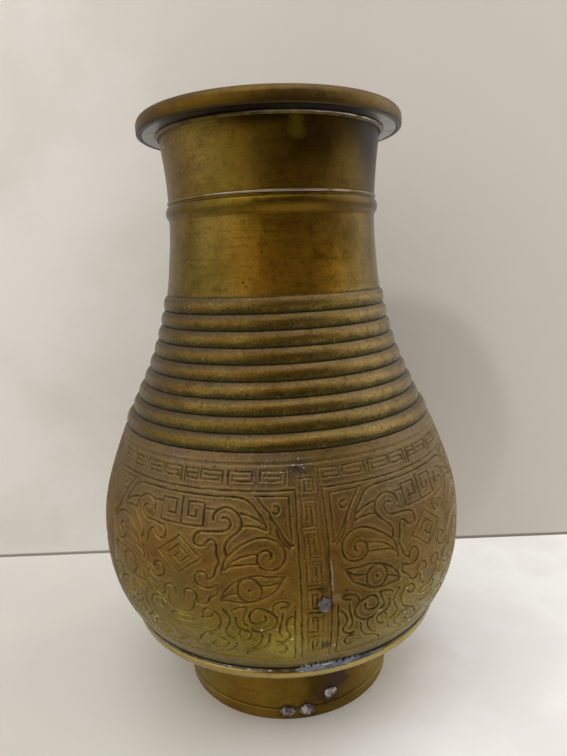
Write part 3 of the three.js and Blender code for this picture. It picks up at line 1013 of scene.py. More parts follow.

# Marks on the metal, some of them painted light and shade: angle, radius, height, reach, softness of the
# edge, raggedness, shift of the noise

MARKS = {
    "neck_left": (-42, 44, 222, 12, 0.6, 0.6, 1.5),
    "neck_low_left": (-24, 43, 193, 11, 0.6, 0.6, 2.5),
    "below_bead": (-8, 44, 199, 11, 0.8, 0.6, 3.6),
    "neck_shade_right": (36, 43, 193, 11, 0.8, 0.7, 9.5),
    "neck_shade_left": (-25, 43, 183, 10, 0.8, 0.7, 3.5),
    "warm_front": (1, 43, 182, 14, 0.7, 0.6, 8.5),
    "warm_low": (12, 45, 173, 12, 0.7, 0.6, 1.5),
    "pale_front": (13, 43, 178, 15, 0.8, 0.6, 5.9),
    "bare_fillet": (25, 43, 233, 24, 0.3, 0.2, 2.4),
    "neck_lit": (-10, 43, 217, 11, 0.8, 0.6, 4.4),
    "streak": (13.5, 44, 230.5, 2.2, 0.6, 0.5, 4.1),
    "lower_streak": (13.8, 44, 227, 2.6, 0.6, 0.5, 6.1),
    "neck_right": (42, 43, 219, 6.5, 0.7, 0.5, 2.2),
    "belly_warm": (9, 74, 82, 21, 0.7, 0.5, 6.0),
    "belly_warm_left": (-14, 75, 86, 14, 0.7, 0.5, 1.0),
    "belly_reflection": (-1, 74, 54, 6.8, 0.5, 0.6, 8.0),
    "belly_lit_left": (-36, 72, 51, 22, 0.8, 0.6, 9.2),
    "belly_darker": (17, 76, 68, 15, 0.8, 0.6, 5.0),
    "belly_front": (2, 76, 92, 40, 0.8, 0.4, 3.9),
    "belly_faded": (-47, 68, 109, 24, 0.5, 0.4, 6.7),
    "glitter": (5.0, 66, 115.3, 3.6, 0.7, 1.0, 3.0),
    "glitter_left": (-4, 66, 114.6, 6.5, 0.7, 0.9, 5.0),
    "low_pit": (10.1, 73.2, 52.6, 2.0, 0.3, 0.7, 7.0),
    "pit": (9.7, BELLY_RADIUS, 69.9, 3.6, 0.4, 0.7, 2.0),
    "high_pit": (9.2, BELLY_RADIUS, 75.8, 1.6, 0.4, 0.7, 4.0),
    "blob": (12.6, BELLY_RADIUS, 71.5, 1.7, 0.4, 0.5, 3.3),
    "foot_red": (14, FOOT_RADIUS, 12, 16, 0.7, 0.6, 3.5),
    "foot_darker": (19, FOOT_RADIUS, 16, 13, 0.8, 0.6, 4.4),
    "foot_darker_left": (4, FOOT_RADIUS, 17, 12, 0.8, 0.6, 6.4),
    "rust": (20.3, FOOT_RADIUS, 10.2, 4.8, 0.2, 0.9, 1.0),
    "rust_right": (25.2, FOOT_RADIUS, 14.8, 4.8, 0.2, 0.9, 2.0),
    "rust_low_left": (-1.5, FOOT_RADIUS, 4.2, 3.4, 0.3, 0.8, 5.0),
    "rust_low": (8.3, FOOT_RADIUS, 3.8, 3.8, 0.3, 0.8, 6.0),
}

# Where a tone starts and where it is full, in millimetres

FADES = {
    # Heights
    "lip_orange": (238.4, 235.6),
    "lip_dust_and_sheen": (237.0, 239.2),
    "lip_darker_low": (237.2, 234.2),
    "lip_tinned": (234.1, 233.6),
    "bare_fillet": (232.80, 233.05),
    "neck_top": (226, 232),
    "neck_high": (211, 225),
    "bead_edge": (207.1, 207.5),
    "below_bead_edge": (207.6, 206.8),
    "bead_groove": (199.5, 202.5),
    "neck_corner": (176, 200),
    "ribs": (174.5, 169.5),
    "belly_upper": (84, 108),
    "belly_lower": (76, 58),
    "belly_high": (92, 106),
    "scratch_shade_foot": (74, 78),
    "scratch_shade_top": (92, 86),
    "scratch_foot": (73.2, 75),
    "scratch_top": (89, 83),
    "foot_rim": (34.6, 36.4),
    "wall_shadow": (20, 150),
    "wall_foot_shade": (2.6, 1.2),
    # Distances on either side of a middle
    "tin_lit_sides": (22, 50),
    "bead_bright_sides": (38, 8),
    "scratch_shade": (0.7, 0.2),
    "scratch": (0.38, 0.1),
    # Distances to the right of the axis
    "lip_lighter_right": (-5, 15),
    "neck_corner_right": (24, 42),
    "neck_right": (-6, 18),
    "neck_far_right": (26, 42),
    "neck_top_left": (-30, -8),
    "wiped_bright": (24, 14),
    "seam_left": (8, -12),
    "ribs_shine_left": (-2, 16),
    "ribs_shine_right": (56, 36),
    "ribs_shade_left": (8, -10),
    "bead_shade_right": (0, 25),
    "belly_right": (12, 50),
    "warm_left": (-24, -4),
    "warm_right": (38, 18),
    "table_lit_right": (-130, 70),
    "table_near_left": (70, -60),
    "wall_lit_left": (60, -150),
    # Distances behind the axis
    "front": (10, -10),
    "neck_front": (30, 0),
    "belly_front": (0, -10),
    "table_near": (-10, -130),
    "table_mirrored": (-180, -450),
}

BEAD_BRIGHT_MIDDLE = 6  # millimetres to the right
SCRATCH_PLACE = 18.6  # millimetres to the right, where its line would meet the table
SCRATCH_LEAN = 0.04  # millimetres to the left for each millimetre up
SCRATCH_SHADE_OFFSET = 0.9  # millimetres to the left of the scratch


def scratches(finish, shift=0.0):
    """Fine marks of turning and of wear."""
    rings = finish.grain(0.8, 3, 0.6, stretch=(0.03, 0.03, 1), shift=shift)
    slants = finish.grain(0.7, 2, 0.5, stretch=(1, 0.05, 0.3), shift=shift + 4)
    return rings * 0.65 + slants * 0.35


def grime(finish, colour, dark, strength, shift):
    """Speckled dirt: clouds, grains and a few black pits."""
    cloud = finish.grain(6, 4, 0.65, shift=shift).ramp(0.5, 0.75)
    colour = finish.mix(cloud * (0.5 * strength), colour, dark)
    fine = finish.grain(1.3, 4, 0.75, shift=shift + 3).ramp(0.48, 0.72)
    colour = finish.mix(fine * (0.6 * strength), colour, dark)
    pits = finish.cells(10, shift + 1).ramp(0.055, 0.025)
    return finish.mix(pits * 0.9, colour, PIT)


def plain_brass(finish, tones):
    """Smooth brass of the neck: brown, rubbed, greenish and reddish patches, brushed round, with a painted
    highlight on its left and painted shade on its right, low on its left and along its right edge.
    """
    patches = finish.grain(24, 4, 0.6, shift=2.3)
    colour = finish.mix(patches.ramp(0.38, 0.64), tones.neck, tones.neck_rubbed_and_lit)
    greenish = finish.grain(30, 4, 0.6, stretch=(1, 1, 0.6), shift=11.2).ramp(0.44, 0.68)
    colour = finish.mix(greenish * 0.65, colour, tones.greenish)
    # Lighter on the left of the neck: a painted highlight, in the rubbed colour
    left = finish.mark("neck_left").most(finish.mark("neck_low_left") * 0.5)
    colour = finish.mix(left * 0.75, colour, tones.neck_rubbed_and_lit)
    below_bead = finish.mark("below_bead")
    colour = finish.mix(below_bead * 0.3, colour, NECK_BELOW_BEAD)
    # Painted shade on the neck: on its right, low on its left and along its right edge
    darkened = finish.mark("neck_shade_right").most(finish.mark("neck_shade_left") * 0.6)
    corner = finish.axis("X").fade("neck_corner_right") * finish.axis("Z").fade("neck_corner")
    darkened = darkened.most(corner * 0.6)
    colour = finish.mix(darkened * 0.6, colour, tones.dark)
    warm = finish.mark("warm_front").most(finish.mark("warm_low"))
    colour = finish.mix(warm * 0.6, colour, tones.neck_red)
    pale = finish.mark("pale_front")
    colour = finish.mix(pale * 0.85, colour, NECK_PALE)
    mottled = finish.grain(5.5, 5, 0.7, shift=12.6)
    colour = finish.mix(mottled.ramp(0.5, 0.72) * 0.5, colour, tones.dark)
    colour = finish.mix(mottled.ramp(0.45, 0.3) * 0.4, colour, tones.neck_rubbed_and_lit)
    brushed = finish.grain(1.1, 3, 0.65, stretch=(0.06, 0.06, 1), shift=7.3).ramp(0.45, 0.75)
    colour = finish.mix(brushed * 0.3, colour, tones.dark)
    red = finish.grain(3.2, 4, 0.7, shift=6.6).ramp(0.60, 0.72)
    red = red * finish.grain(20, 2, shift=1.1).ramp(0.45, 0.6)
    colour = finish.mix(red * 0.4, colour, RUST)
    colour = finish.warmer_front(colour, 0.65)
    return grime(finish, colour, tones.dark, 0.8, 5.2), patches, greenish


def brass_bumps(finish, depth, shift=1.0):
    """Shallow dents, brushing and pitting."""
    normal = finish.bump(finish.grain(14, 2, 0.5, shift=shift), 0.3)
    pitted = finish.grain(1.2, 4, 0.75, shift=shift + 6)
    return finish.bump(scratches(finish, shift + 2) * 0.5 + pitted * 0.5, depth, under=normal)


def lip_finish(tones):
    finish = Finish("brown rubbed lip brass")
    height = finish.axis("Z")
    worn = finish.grain(9, 4, 0.65, shift=1.2)
    colour = finish.mix(worn.ramp(0.38, 0.66), tones.lip, tones.lip_rubbed)
    orange = (height + finish.drift(5, 7, 4, 0.7, shift=3.2)).fade("lip_orange")
    colour = finish.mix(orange * 0.6, colour, tones.lip_orange)
    # Greyish on top of the lip: dust and a painted sheen
    dusty = (height + finish.drift(3.4, 2.5, 4, 0.75, shift=4.2)).fade("lip_dust_and_sheen")
    colour = finish.mix(dusty * 0.26, colour, tones.lip_dust_and_sheen)
    # Lighter to the right of the front of the lip
    lighter_right = finish.axis("X").fade("lip_lighter_right") * finish.front()
    colour = finish.mix(lighter_right * 0.22, colour, LIP_LIGHTER)
    colour = grime(finish, colour, tones.dark, 1.0, 2.2)
    # Darker towards the bottom of the lip
    darkening = (height + finish.drift(1.6, 2.2, 4, 0.7, shift=6.1)).fade("lip_darker_low")
    colour = finish.mix(darkening * 0.72, colour, tones.dark)
    # Tin along the lower edge of the lip, nearly black: tin in painted shade
    tinned = (height + finish.drift(0.6, 3, 3, 0.6, shift=9.4)).fade("lip_tinned")
    colour = finish.mix(tinned * 0.9, colour, LIP_TIN_IN_SHADE)
    light = finish.cells(3.4, 3.1).ramp(0.12, 0.05) * finish.grain(5, 2, shift=3.0).ramp(0.5, 0.62)
    colour = finish.mix(light * 0.5, colour, LIP_SPECKS)
    roughness = 0.36 + worn * 0.14 + dusty * 0.16
    return finish.shader(colour, roughness, 1.0, brass_bumps(finish, 0.11, 1.3))


def tinned_finish(tones):
    """Tin on the plate: bluish black in painted shade towards the front, lighter grey with painted light at
    both sides.
    """
    finish = Finish("dull tinned plate")
    cloud = finish.grain(8, 4, 0.6)
    # Painted shade towards the front of the plate, painted light at its sides
    sides = (finish.axis("X").math("ABSOLUTE") + finish.drift(26, 9, 3, 0.6, shift=5.4)).fade("tin_lit_sides")
    colour = finish.mix(sides, tones.tin_dark, tones.tin)
    colour = finish.mix(cloud.ramp(0.45, 0.75) * 0.5, colour, tones.tin_dark)
    stain = finish.grain(5, 4, 0.65, shift=3.3).ramp(0.54, 0.72)
    colour = finish.mix(stain * 0.6, colour, TIN_STAIN)
    bump = finish.bump(finish.grain(1.5, 4, 0.7) * 0.5 + scratches(finish, 3.0) * 0.5, 0.09)
    return finish.shader(colour, 0.25 + cloud * 0.2, 1.0, bump)


def lip_line_finish():
    """Dark fillet of brass colour, with a fine line of bare metal a little right of the front."""
    finish = Finish("fillet under the lip")
    height = finish.axis("Z") + finish.drift(0.4, 4, 3, 0.6, shift=1.8)
    colour = finish.mix(finish.grain(5, 4, 0.65).ramp(0.4, 0.65), FILLET_BROWN, FILLET_DARK)
    front = finish.mark("bare_fillet")
    bare = height.fade("bare_fillet") * front * finish.grain(9, 3, 0.6, shift=2.4).ramp(0.38, 0.5)
    colour = finish.mix(bare, colour, FILLET_BARE)
    normal = finish.bump(finish.grain(0.9, 4, 0.7), 0.1)
    return finish.shader(colour, 0.4 - bare * 0.15, 1.0, normal)


def solder_finish(tones, name="dull grey solder", light=None, stain=None, shift=0.0):
    """Grey solder: dark and dull with bare bright grains, and a stain in the low spots."""
    finish = Finish(name)
    cloud = finish.grain(2.2, 4, 0.6, shift=shift)
    colour = finish.mix(cloud.ramp(0.42, 0.62), tones.solder_dark, light or tones.solder)
    low = finish.grain(2.6, 3, 0.65, shift=7.7 + shift).ramp(0.50, 0.64)
    colour = finish.mix(low * 0.8, colour, stain or RUST)
    bump = finish.bump(finish.grain(0.8, 4, 0.75, shift=shift), 0.22)
    return finish.shader(colour, 0.40 + cloud * 0.2, 0.9, bump)


def smear_finish():
    """Solder wiped along the seam: dark bluish grey with level whitish streaks."""
    finish = Finish("wiped solder")
    cloud = finish.grain(7, 4, 0.6, stretch=(1, 1, 1.8), shift=2.6)
    colour = finish.mix(cloud.ramp(0.35, 0.65), WIPED_DARK, WIPED)
    streaks = finish.grain(3.6, 4, 0.65, stretch=(0.35, 0.35, 3.2), shift=5.1)
    bright = finish.axis("X").fade("wiped_bright")
    colour = finish.mix(streaks.ramp(0.54, 0.66) * (bright * 0.7 + 0.1), colour, WIPED_BRIGHT)
    bump = finish.bump(streaks * 0.6 + finish.grain(1.2, 4, 0.7, shift=8.2) * 0.4, 0.25)
    return finish.shader(colour, 0.30 + cloud * 0.15, 0.95, bump)


def seam_finish(tones):
    """Dirty seam: dark olive, with more grey and white glints towards the left."""
    finish = Finish("dark seam with bare glints")
    across = finish.axis("X")
    left = across.fade("seam_left")
    glint = (finish.grain(2.2, 3, 0.6, stretch=(1, 1, 2.5), shift=5.5) + left * 0.06).ramp(0.64, 0.70)
    colour = finish.mix(finish.grain(6, 3, 0.6).ramp(0.4, 0.65), SEAM_DARK, SEAM_OLIVE)
    grey = left * finish.grain(7, 4, 0.65, shift=3.9).ramp(0.36, 0.56)
    colour = finish.mix(grey * 0.8, colour, SEAM_GREY)
    colour = finish.mix(glint * (left * 0.7 + 0.3), colour, tones.solder)
    bump = finish.bump(finish.grain(1.0, 4, 0.7), 0.2)
    return finish.shader(colour, 0.36 - glint * 0.1, 1.0, bump)


def neck_finish(tones):
    """Upper neck: painted shade darkens its right half and its top, but for a few rubbed streaks."""
    finish = Finish("half polished neck brass")
    colour, patches, greenish = plain_brass(finish, tones)
    height = finish.axis("Z")
    wander = finish.drift(18, 9, 4, 0.65, shift=9.1)
    high = (height + wander * 0.5).fade("neck_high")
    right = (finish.axis("X") + wander * 0.6 + high * 3).fade("neck_right")
    right = right * finish.axis("Y").fade("neck_front")
    top = (finish.axis("X") + wander).fade("neck_top_left") * height.fade("neck_top")
    lit = finish.mark("neck_lit")
    colour = finish.mix(lit * 0.2, colour, tones.neck_rubbed_and_lit)
    far = finish.axis("X").fade("neck_far_right")
    # Painted shade, nearly black: over the right half of the neck, more so high up and far right, and on
    # its top but for the left
    painted_shade = (right * (high * 0.40 + far * 0.2 + 0.42)).most(top * 0.87)
    colour = finish.mix(painted_shade, colour, PAINTED_NECK_SHADE)
    streak = finish.mark("streak").most(finish.mark("lower_streak"))
    colour = finish.mix(streak * 0.5, colour, NECK_STREAK)
    rubbed = finish.mark("neck_right")
    colour = finish.mix(rubbed * 0.3, colour, NECK_RIGHT)
    roughness = 0.31 + patches * 0.14 + greenish * 0.08
    return finish.shader(colour, roughness, 1.0, brass_bumps(finish, 0.07, 2.1))


def shoulder_finish(tones):
    """Ribs: pinkish grey dust and painted sheen on their upper side, olive dirt and painted shade low down,
    and dirt with painted shade in the grooves.
    """
    finish = Finish("ribbed shoulder brass")
    dust_and_shade = finish.stored("dust_and_shade")
    crest = finish.stored("crest")
    plain, patches, _ = plain_brass(finish, tones)
    height = finish.axis("Z")
    ribbed = (height + finish.drift(5, 10, 3, 0.6, shift=4.9)).fade("ribs")
    streaks = finish.grain(12, 4, 0.65, stretch=(0.6, 0.6, 1.6), shift=3.7)
    brown = finish.mix(streaks.ramp(0.4, 0.62), tones.ribs, tones.ribs_rubbed)
    red = finish.grain(17, 3, 0.6, shift=8.7).ramp(0.46, 0.64)
    brown = finish.mix(red * 0.6, brown, tones.ribs_red)
    grains = finish.grain(1.3, 4, 0.8, shift=2.4)
    coarse = finish.grain(7, 3, 0.6, shift=7.4)
    # Pinkish grey on the upper side of each rib: dust and a painted sheen
    upper = (crest + (grains - 0.5) * 0.9 + (coarse - 0.5) * 0.9).ramp(-0.1, 0.8)
    brown = finish.mix(upper * 0.8, brown, tones.ribs_dust_and_sheen)
    across = finish.axis("X")
    # A painted highlight across the front of the ribs, right of the middle
    shine = across.fade("ribs_shine_left") * across.fade("ribs_shine_right") * finish.front()
    brown = finish.mix(shine * 0.3, brown, RIBS_SHINE)
    # Painted shade on the left of the ribs
    brown = finish.mix(across.fade("ribs_shade_left") * 0.22, brown, tones.dark)
    # Olive low on each rib: dirt, and painted shade on its lower side
    olive = (dust_and_shade + (grains - 0.5) * 1.3 + (coarse - 0.5) * 1.3).ramp(0.1, 0.75)
    brown = finish.mix(olive * 0.85, brown, tones.olive_dust_and_shade)
    specks = finish.grain(0.9, 3, 0.8, shift=5.7).ramp(0.48, 0.62) * (dust_and_shade.ramp(-0.2, 0.6) * 0.6 + 0.4)
    brown = finish.mix(specks * 0.7, brown, tones.dust_and_shade)
    brown = finish.warmer_front(brown, 0.35)
    brown = grime(finish, brown, tones.dark, 1.0, 6.4)
    colour = finish.mix(ribbed, plain, brown)
    # Painted shade on the bead under the sleeve's edge, deeper on the right
    under = height.fade("below_bead_edge") * height.fade("bead_groove")
    under = under * (across.fade("bead_shade_right") * 0.2 + 0.25)
    colour = finish.mix(under, colour, tones.dark)
    # The sleeve's edge lighter near the front: worn metal and a painted highlight
    aside = (across - BEAD_BRIGHT_MIDDLE).math("ABSOLUTE").fade("bead_bright_sides")
    worn = height.fade("bead_edge") * finish.grain(9, 4, 0.6, shift=9.4).ramp(0.3, 0.55)
    colour = finish.mix(worn * (aside * 0.55 + 0.2), colour, BEAD_WEAR_AND_HIGHLIGHT)
    # Near black in the grooves: dirt and painted shade
    groove_dirt_and_shade = (dust_and_shade + (grains - 0.5) * 0.8 + (coarse - 0.5) * 0.5).ramp(0.66, 1.1)
    colour = finish.mix(groove_dirt_and_shade * 0.9, colour, tones.dust_and_shade)
    pale = finish.cells(1.5, 4.1).ramp(0.26, 0.14) * finish.grain(5, 3, shift=2.9).ramp(0.48, 0.62)
    colour = finish.mix(pale * ribbed * 0.4, colour, RIBS_SPECKS)
    roughness = 0.31 + patches * 0.10 + upper * ribbed * 0.14 + groove_dirt_and_shade * 0.2
    normal = brass_bumps(finish, 0.07, 2.1)
    normal = finish.bump(grains * (groove_dirt_and_shade * 0.5 + ribbed * 0.6), 0.2, under=normal)
    return finish.shader(colour, roughness, 1.0 - groove_dirt_and_shade * 0.3, normal)


def belly_finish(tones):
    finish = Finish("chased belly brass")
    groove = finish.stored("groove")
    edge = finish.stored("edge")
    height = finish.axis("Z")
    wander = finish.drift(30, 22, 4, 0.6, shift=7.5)
    upper = (height + wander).fade("belly_upper")
    lower = (height + wander).fade("belly_lower")
    worn = finish.grain(18, 4, 0.6, shift=2.5)
    patch = finish.grain(15, 3, 0.6, shift=9.9).ramp(0.38, 0.66)
    middle = finish.mix(patch, tones.belly_middle, tones.belly_orange)
    dusty = finish.grain(11, 4, 0.65, shift=14.2).ramp(0.46, 0.62)
    colour = finish.mix(upper, middle, finish.mix(dusty, tones.belly_top, tones.belly_dusty))
    bright = finish.grain(14, 3, 0.6, shift=4.9).ramp(0.40, 0.66)
    colour = finish.mix(lower, colour, finish.mix(bright, tones.belly_low, tones.belly_yellow))
    warm = finish.mark("belly_warm").most(finish.mark("belly_warm_left") * 0.7)
    colour = finish.mix(warm * 0.5, colour, tones.belly_orange)
    # A painted reflection: a bright yellow green patch low on the front of the belly
    reflection_patch = finish.mark("belly_reflection")
    colour = finish.mix(reflection_patch * 0.75, colour, BELLY_REFLECTION)
    # Painted light on the lower left of the belly
    light = finish.mark("belly_lit_left")
    colour = finish.mix(light * 0.35, colour, BELLY_LIT)
    # Darker low on the right of the front
    darkened = finish.mark("belly_darker")
    colour = finish.mix(darkened * 0.55, colour, tones.dark)
    # Painted light high on the right of the front
    right = finish.axis("X").fade("belly_right") * finish.front() * height.fade("belly_high")
    colour = finish.mix(right * 0.35, colour, BELLY_RIGHT)
    rubbed = (edge + (worn - 0.5) * 1.2).ramp(0.3, 1.1)
    colour = finish.mix(rubbed * 0.45, colour, tones.belly_rubbed)
    # Faint painted light over the front of the belly
    front = finish.mark("belly_front")
    colour = finish.mix(front * 0.04, colour, BELLY_FRONT_LIGHT)
    colour = finish.warmer_front(colour, 0.3)
    colour = grime(finish, colour, tones.dark, 0.8, 8.1)
    stipple = finish.grain(0.9, 4, 0.8, shift=5.2)
    colour = finish.mix(stipple.ramp(0.48, 0.7) * 0.42, colour, tones.dark)
    faded = finish.mark("belly_faded")
    darkening = (groove + (stipple - 0.5) * 0.7).ramp(0.1, 0.95) * (0.72 - faded * 0.5)
    colour = finish.mix(darkening, colour, tones.groove)
    glints = finish.cells(2.6, 6.0).ramp(0.26, 0.12) * edge.ramp(0.4, 0.8) * lower
    glints = glints * finish.grain(7, 3, 0.6, shift=6.4).ramp(0.50, 0.58)
    colour = finish.mix(glints * 0.85, colour, GLINTS)
    glitter = finish.mark("glitter")
    glitter = glitter.most(finish.mark("glitter_left") * 0.45)
    flakes = finish.grain(0.8, 3, 0.7, shift=12.5)
    colour = finish.mix(glitter * flakes.ramp(0.40, 0.5) * 0.7, colour, FLAKES_DARK)
    colour = finish.mix(glitter * flakes.ramp(0.60, 0.66), colour, FLAKES)
    pit = finish.mark("low_pit")
    pit = pit.most(finish.mark("pit") * 0.8)
    pit = pit.most(finish.mark("high_pit") * 0.8)
    colour = finish.mix(pit * 0.8, colour, tones.dark)
    shaken = finish.drift(1.2, 4, 3, 0.6, shift=2.7)
    aside = finish.axis("X") + height * SCRATCH_LEAN + shaken - SCRATCH_PLACE
    front = finish.axis("Y").fade("belly_front")
    shade = (aside + SCRATCH_SHADE_OFFSET).math("ABSOLUTE").fade("scratch_shade")
    shade = shade * height.fade("scratch_shade_foot") * height.fade("scratch_shade_top") * front
    colour = finish.mix(shade * 0.6, colour, tones.dark)
    scratch = aside.math("ABSOLUTE").fade("scratch")
    scratch = scratch * height.fade("scratch_foot") * height.fade("scratch_top") * front
    scratch = scratch * finish.grain(2.2, 4, 0.7, shift=1.3).ramp(0.40, 0.60)
    colour = finish.mix(scratch * 0.8, colour, SCRATCH)
    blob = finish.mark("blob")
    colour = finish.mix(blob * 0.45, colour, BLOB)
    roughness = 0.42 + upper * 0.10 - lower * (edge * 0.08 + 0.12) + groove * 0.15 - glitter * 0.15
    normal = finish.bump(finish.grain(12, 2, 0.5, shift=1.9), 0.35)
    pitted = finish.grain(1.9, 4, 0.7, shift=4.8)
    normal = finish.bump(stipple * 0.8 + pitted * 0.8 + scratches(finish, 5.0) * 0.2, 0.17, under=normal)
    return finish.shader(colour, roughness, 0.95, normal)


def foot_finish(tones):
    finish = Finish("half polished foot brass")
    worn = finish.grain(15, 4, 0.6, stretch=(1, 1, 0.7), shift=5.9)
    colour = finish.mix(worn.ramp(0.4, 0.62), tones.foot, tones.foot_rubbed)
    red = finish.grain(19, 3, 0.6, shift=3.9).ramp(0.46, 0.64)
    red = red.most(finish.mark("foot_red") * 0.8)
    colour = finish.mix(red * 0.6, colour, tones.foot_red)
    # Darker on the front of the foot, more so right of the middle
    darkened = finish.mark("foot_darker")
    darkened = darkened.most(finish.mark("foot_darker_left") * 0.5)
    colour = finish.mix(darkened * 0.88, colour, tones.dark)
    # The rolled rim lighter: rubbed metal and a painted highlight
    rim = finish.axis("Z").fade("foot_rim")
    colour = finish.mix(rim * 0.75, colour, tones.rim_rubbed_and_lit)
    brushed = finish.grain(0.9, 3, 0.65, stretch=(0.04, 0.04, 1), shift=9.3).ramp(0.42, 0.75)
    colour = finish.mix(brushed * 0.25, colour, tones.dark)
    colour = grime(finish, colour, tones.dark, 0.6, 3.1)
    rust = finish.mark("rust")
    rust = rust.most(finish.mark("rust_right"))
    rust = rust.most(finish.mark("rust_low_left") * 0.7)
    rust = rust.most(finish.mark("rust_low") * 0.7)
    colour = finish.mix(rust, colour, RUST)
    roughness = 0.29 + worn * 0.14 + rust * 0.3 - rim * 0.14
    return finish.shader(colour, roughness, 1.0 - rust * 0.6, brass_bumps(finish, 0.06, 4.1))


def hidden_finish(tones):
    finish = Finish("dull unpolished brass")
    cloud = finish.grain(12, 4, 0.6)
    colour = finish.mix(cloud.ramp(0.35, 0.7), tones.hidden, tones.dark)
    colour = grime(finish, colour, tones.dark, 1.0, 3.1)
    normal = finish.bump(finish.grain(1.4, 4, 0.7), 0.12)
    return finish.shader(colour, 0.5 + cloud * 0.2, 0.9, normal)


# Numbers that the pieces are made with

CHASED_ROWS = 262  # rows of points in the chased part of a panel
GROOVE_FULL = 1.25  # deepest point of a groove, in line depths
OUTSIDE_SLACK = 0.5  # how far inside the outer surface a point still counts as outside
RIB_DIRT = 0.36  # share of a rib that holds dirt and painted shade, from the groove below it
RIB_CREST = 0.60  # share of a rib's height where its crest starts
RIB_CREST_FADE = 0.18
DAB_GRAIN = 1.4  # millimetres
DAB_FINE_GRAIN = 0.5
DAB_UNEVEN = 0.28
DAB_FINE_UNEVEN = 0.08
DAB_SINK = 0.05
LUMP_START = 2.0  # degrees
LUMP_END = 31.0
LUMP_FULL = ((LUMP_START, LUMP_START + 4, 12, 17, 21, LUMP_END), (0.05, 0.8, 1, 0.9, 0.35, 0.05))

# Sizes and colours that a user would change


def colour_setting(name, description, default):
    return bpy.props.FloatVectorProperty(
        name=name, description=description, subtype="COLOR", size=3, min=0, max=1, default=default
    )


class VaseSizes(bpy.types.PropertyGroup):
    """Sizes of the chased lines and of the solder."""

    line_width: bpy.props.FloatProperty(
        name="Line width", description="Width of a chased line",
        default=1.1 * MM, min=0.2 * MM, unit="LENGTH",
    )
    line_depth: bpy.props.FloatProperty(
        name="Line depth", description="Depth of a chased line",
        default=0.5 * MM, min=0, unit="LENGTH",
    )
    burr_height: bpy.props.FloatProperty(
        name="Burr height", description="Rise of the metal beside a line",
        default=0.17 * MM, min=0, unit="LENGTH",
    )
    solder_rise: bpy.props.FloatProperty(
        name="Solder rise", description="Height of the lumps of solder",
        default=0.6 * MM, min=0, unit="LENGTH",
    )
    lens: bpy.props.FloatProperty(
        name="Lens", description="Focal length of the camera", default=28.28, min=10, unit="CAMERA"
    )


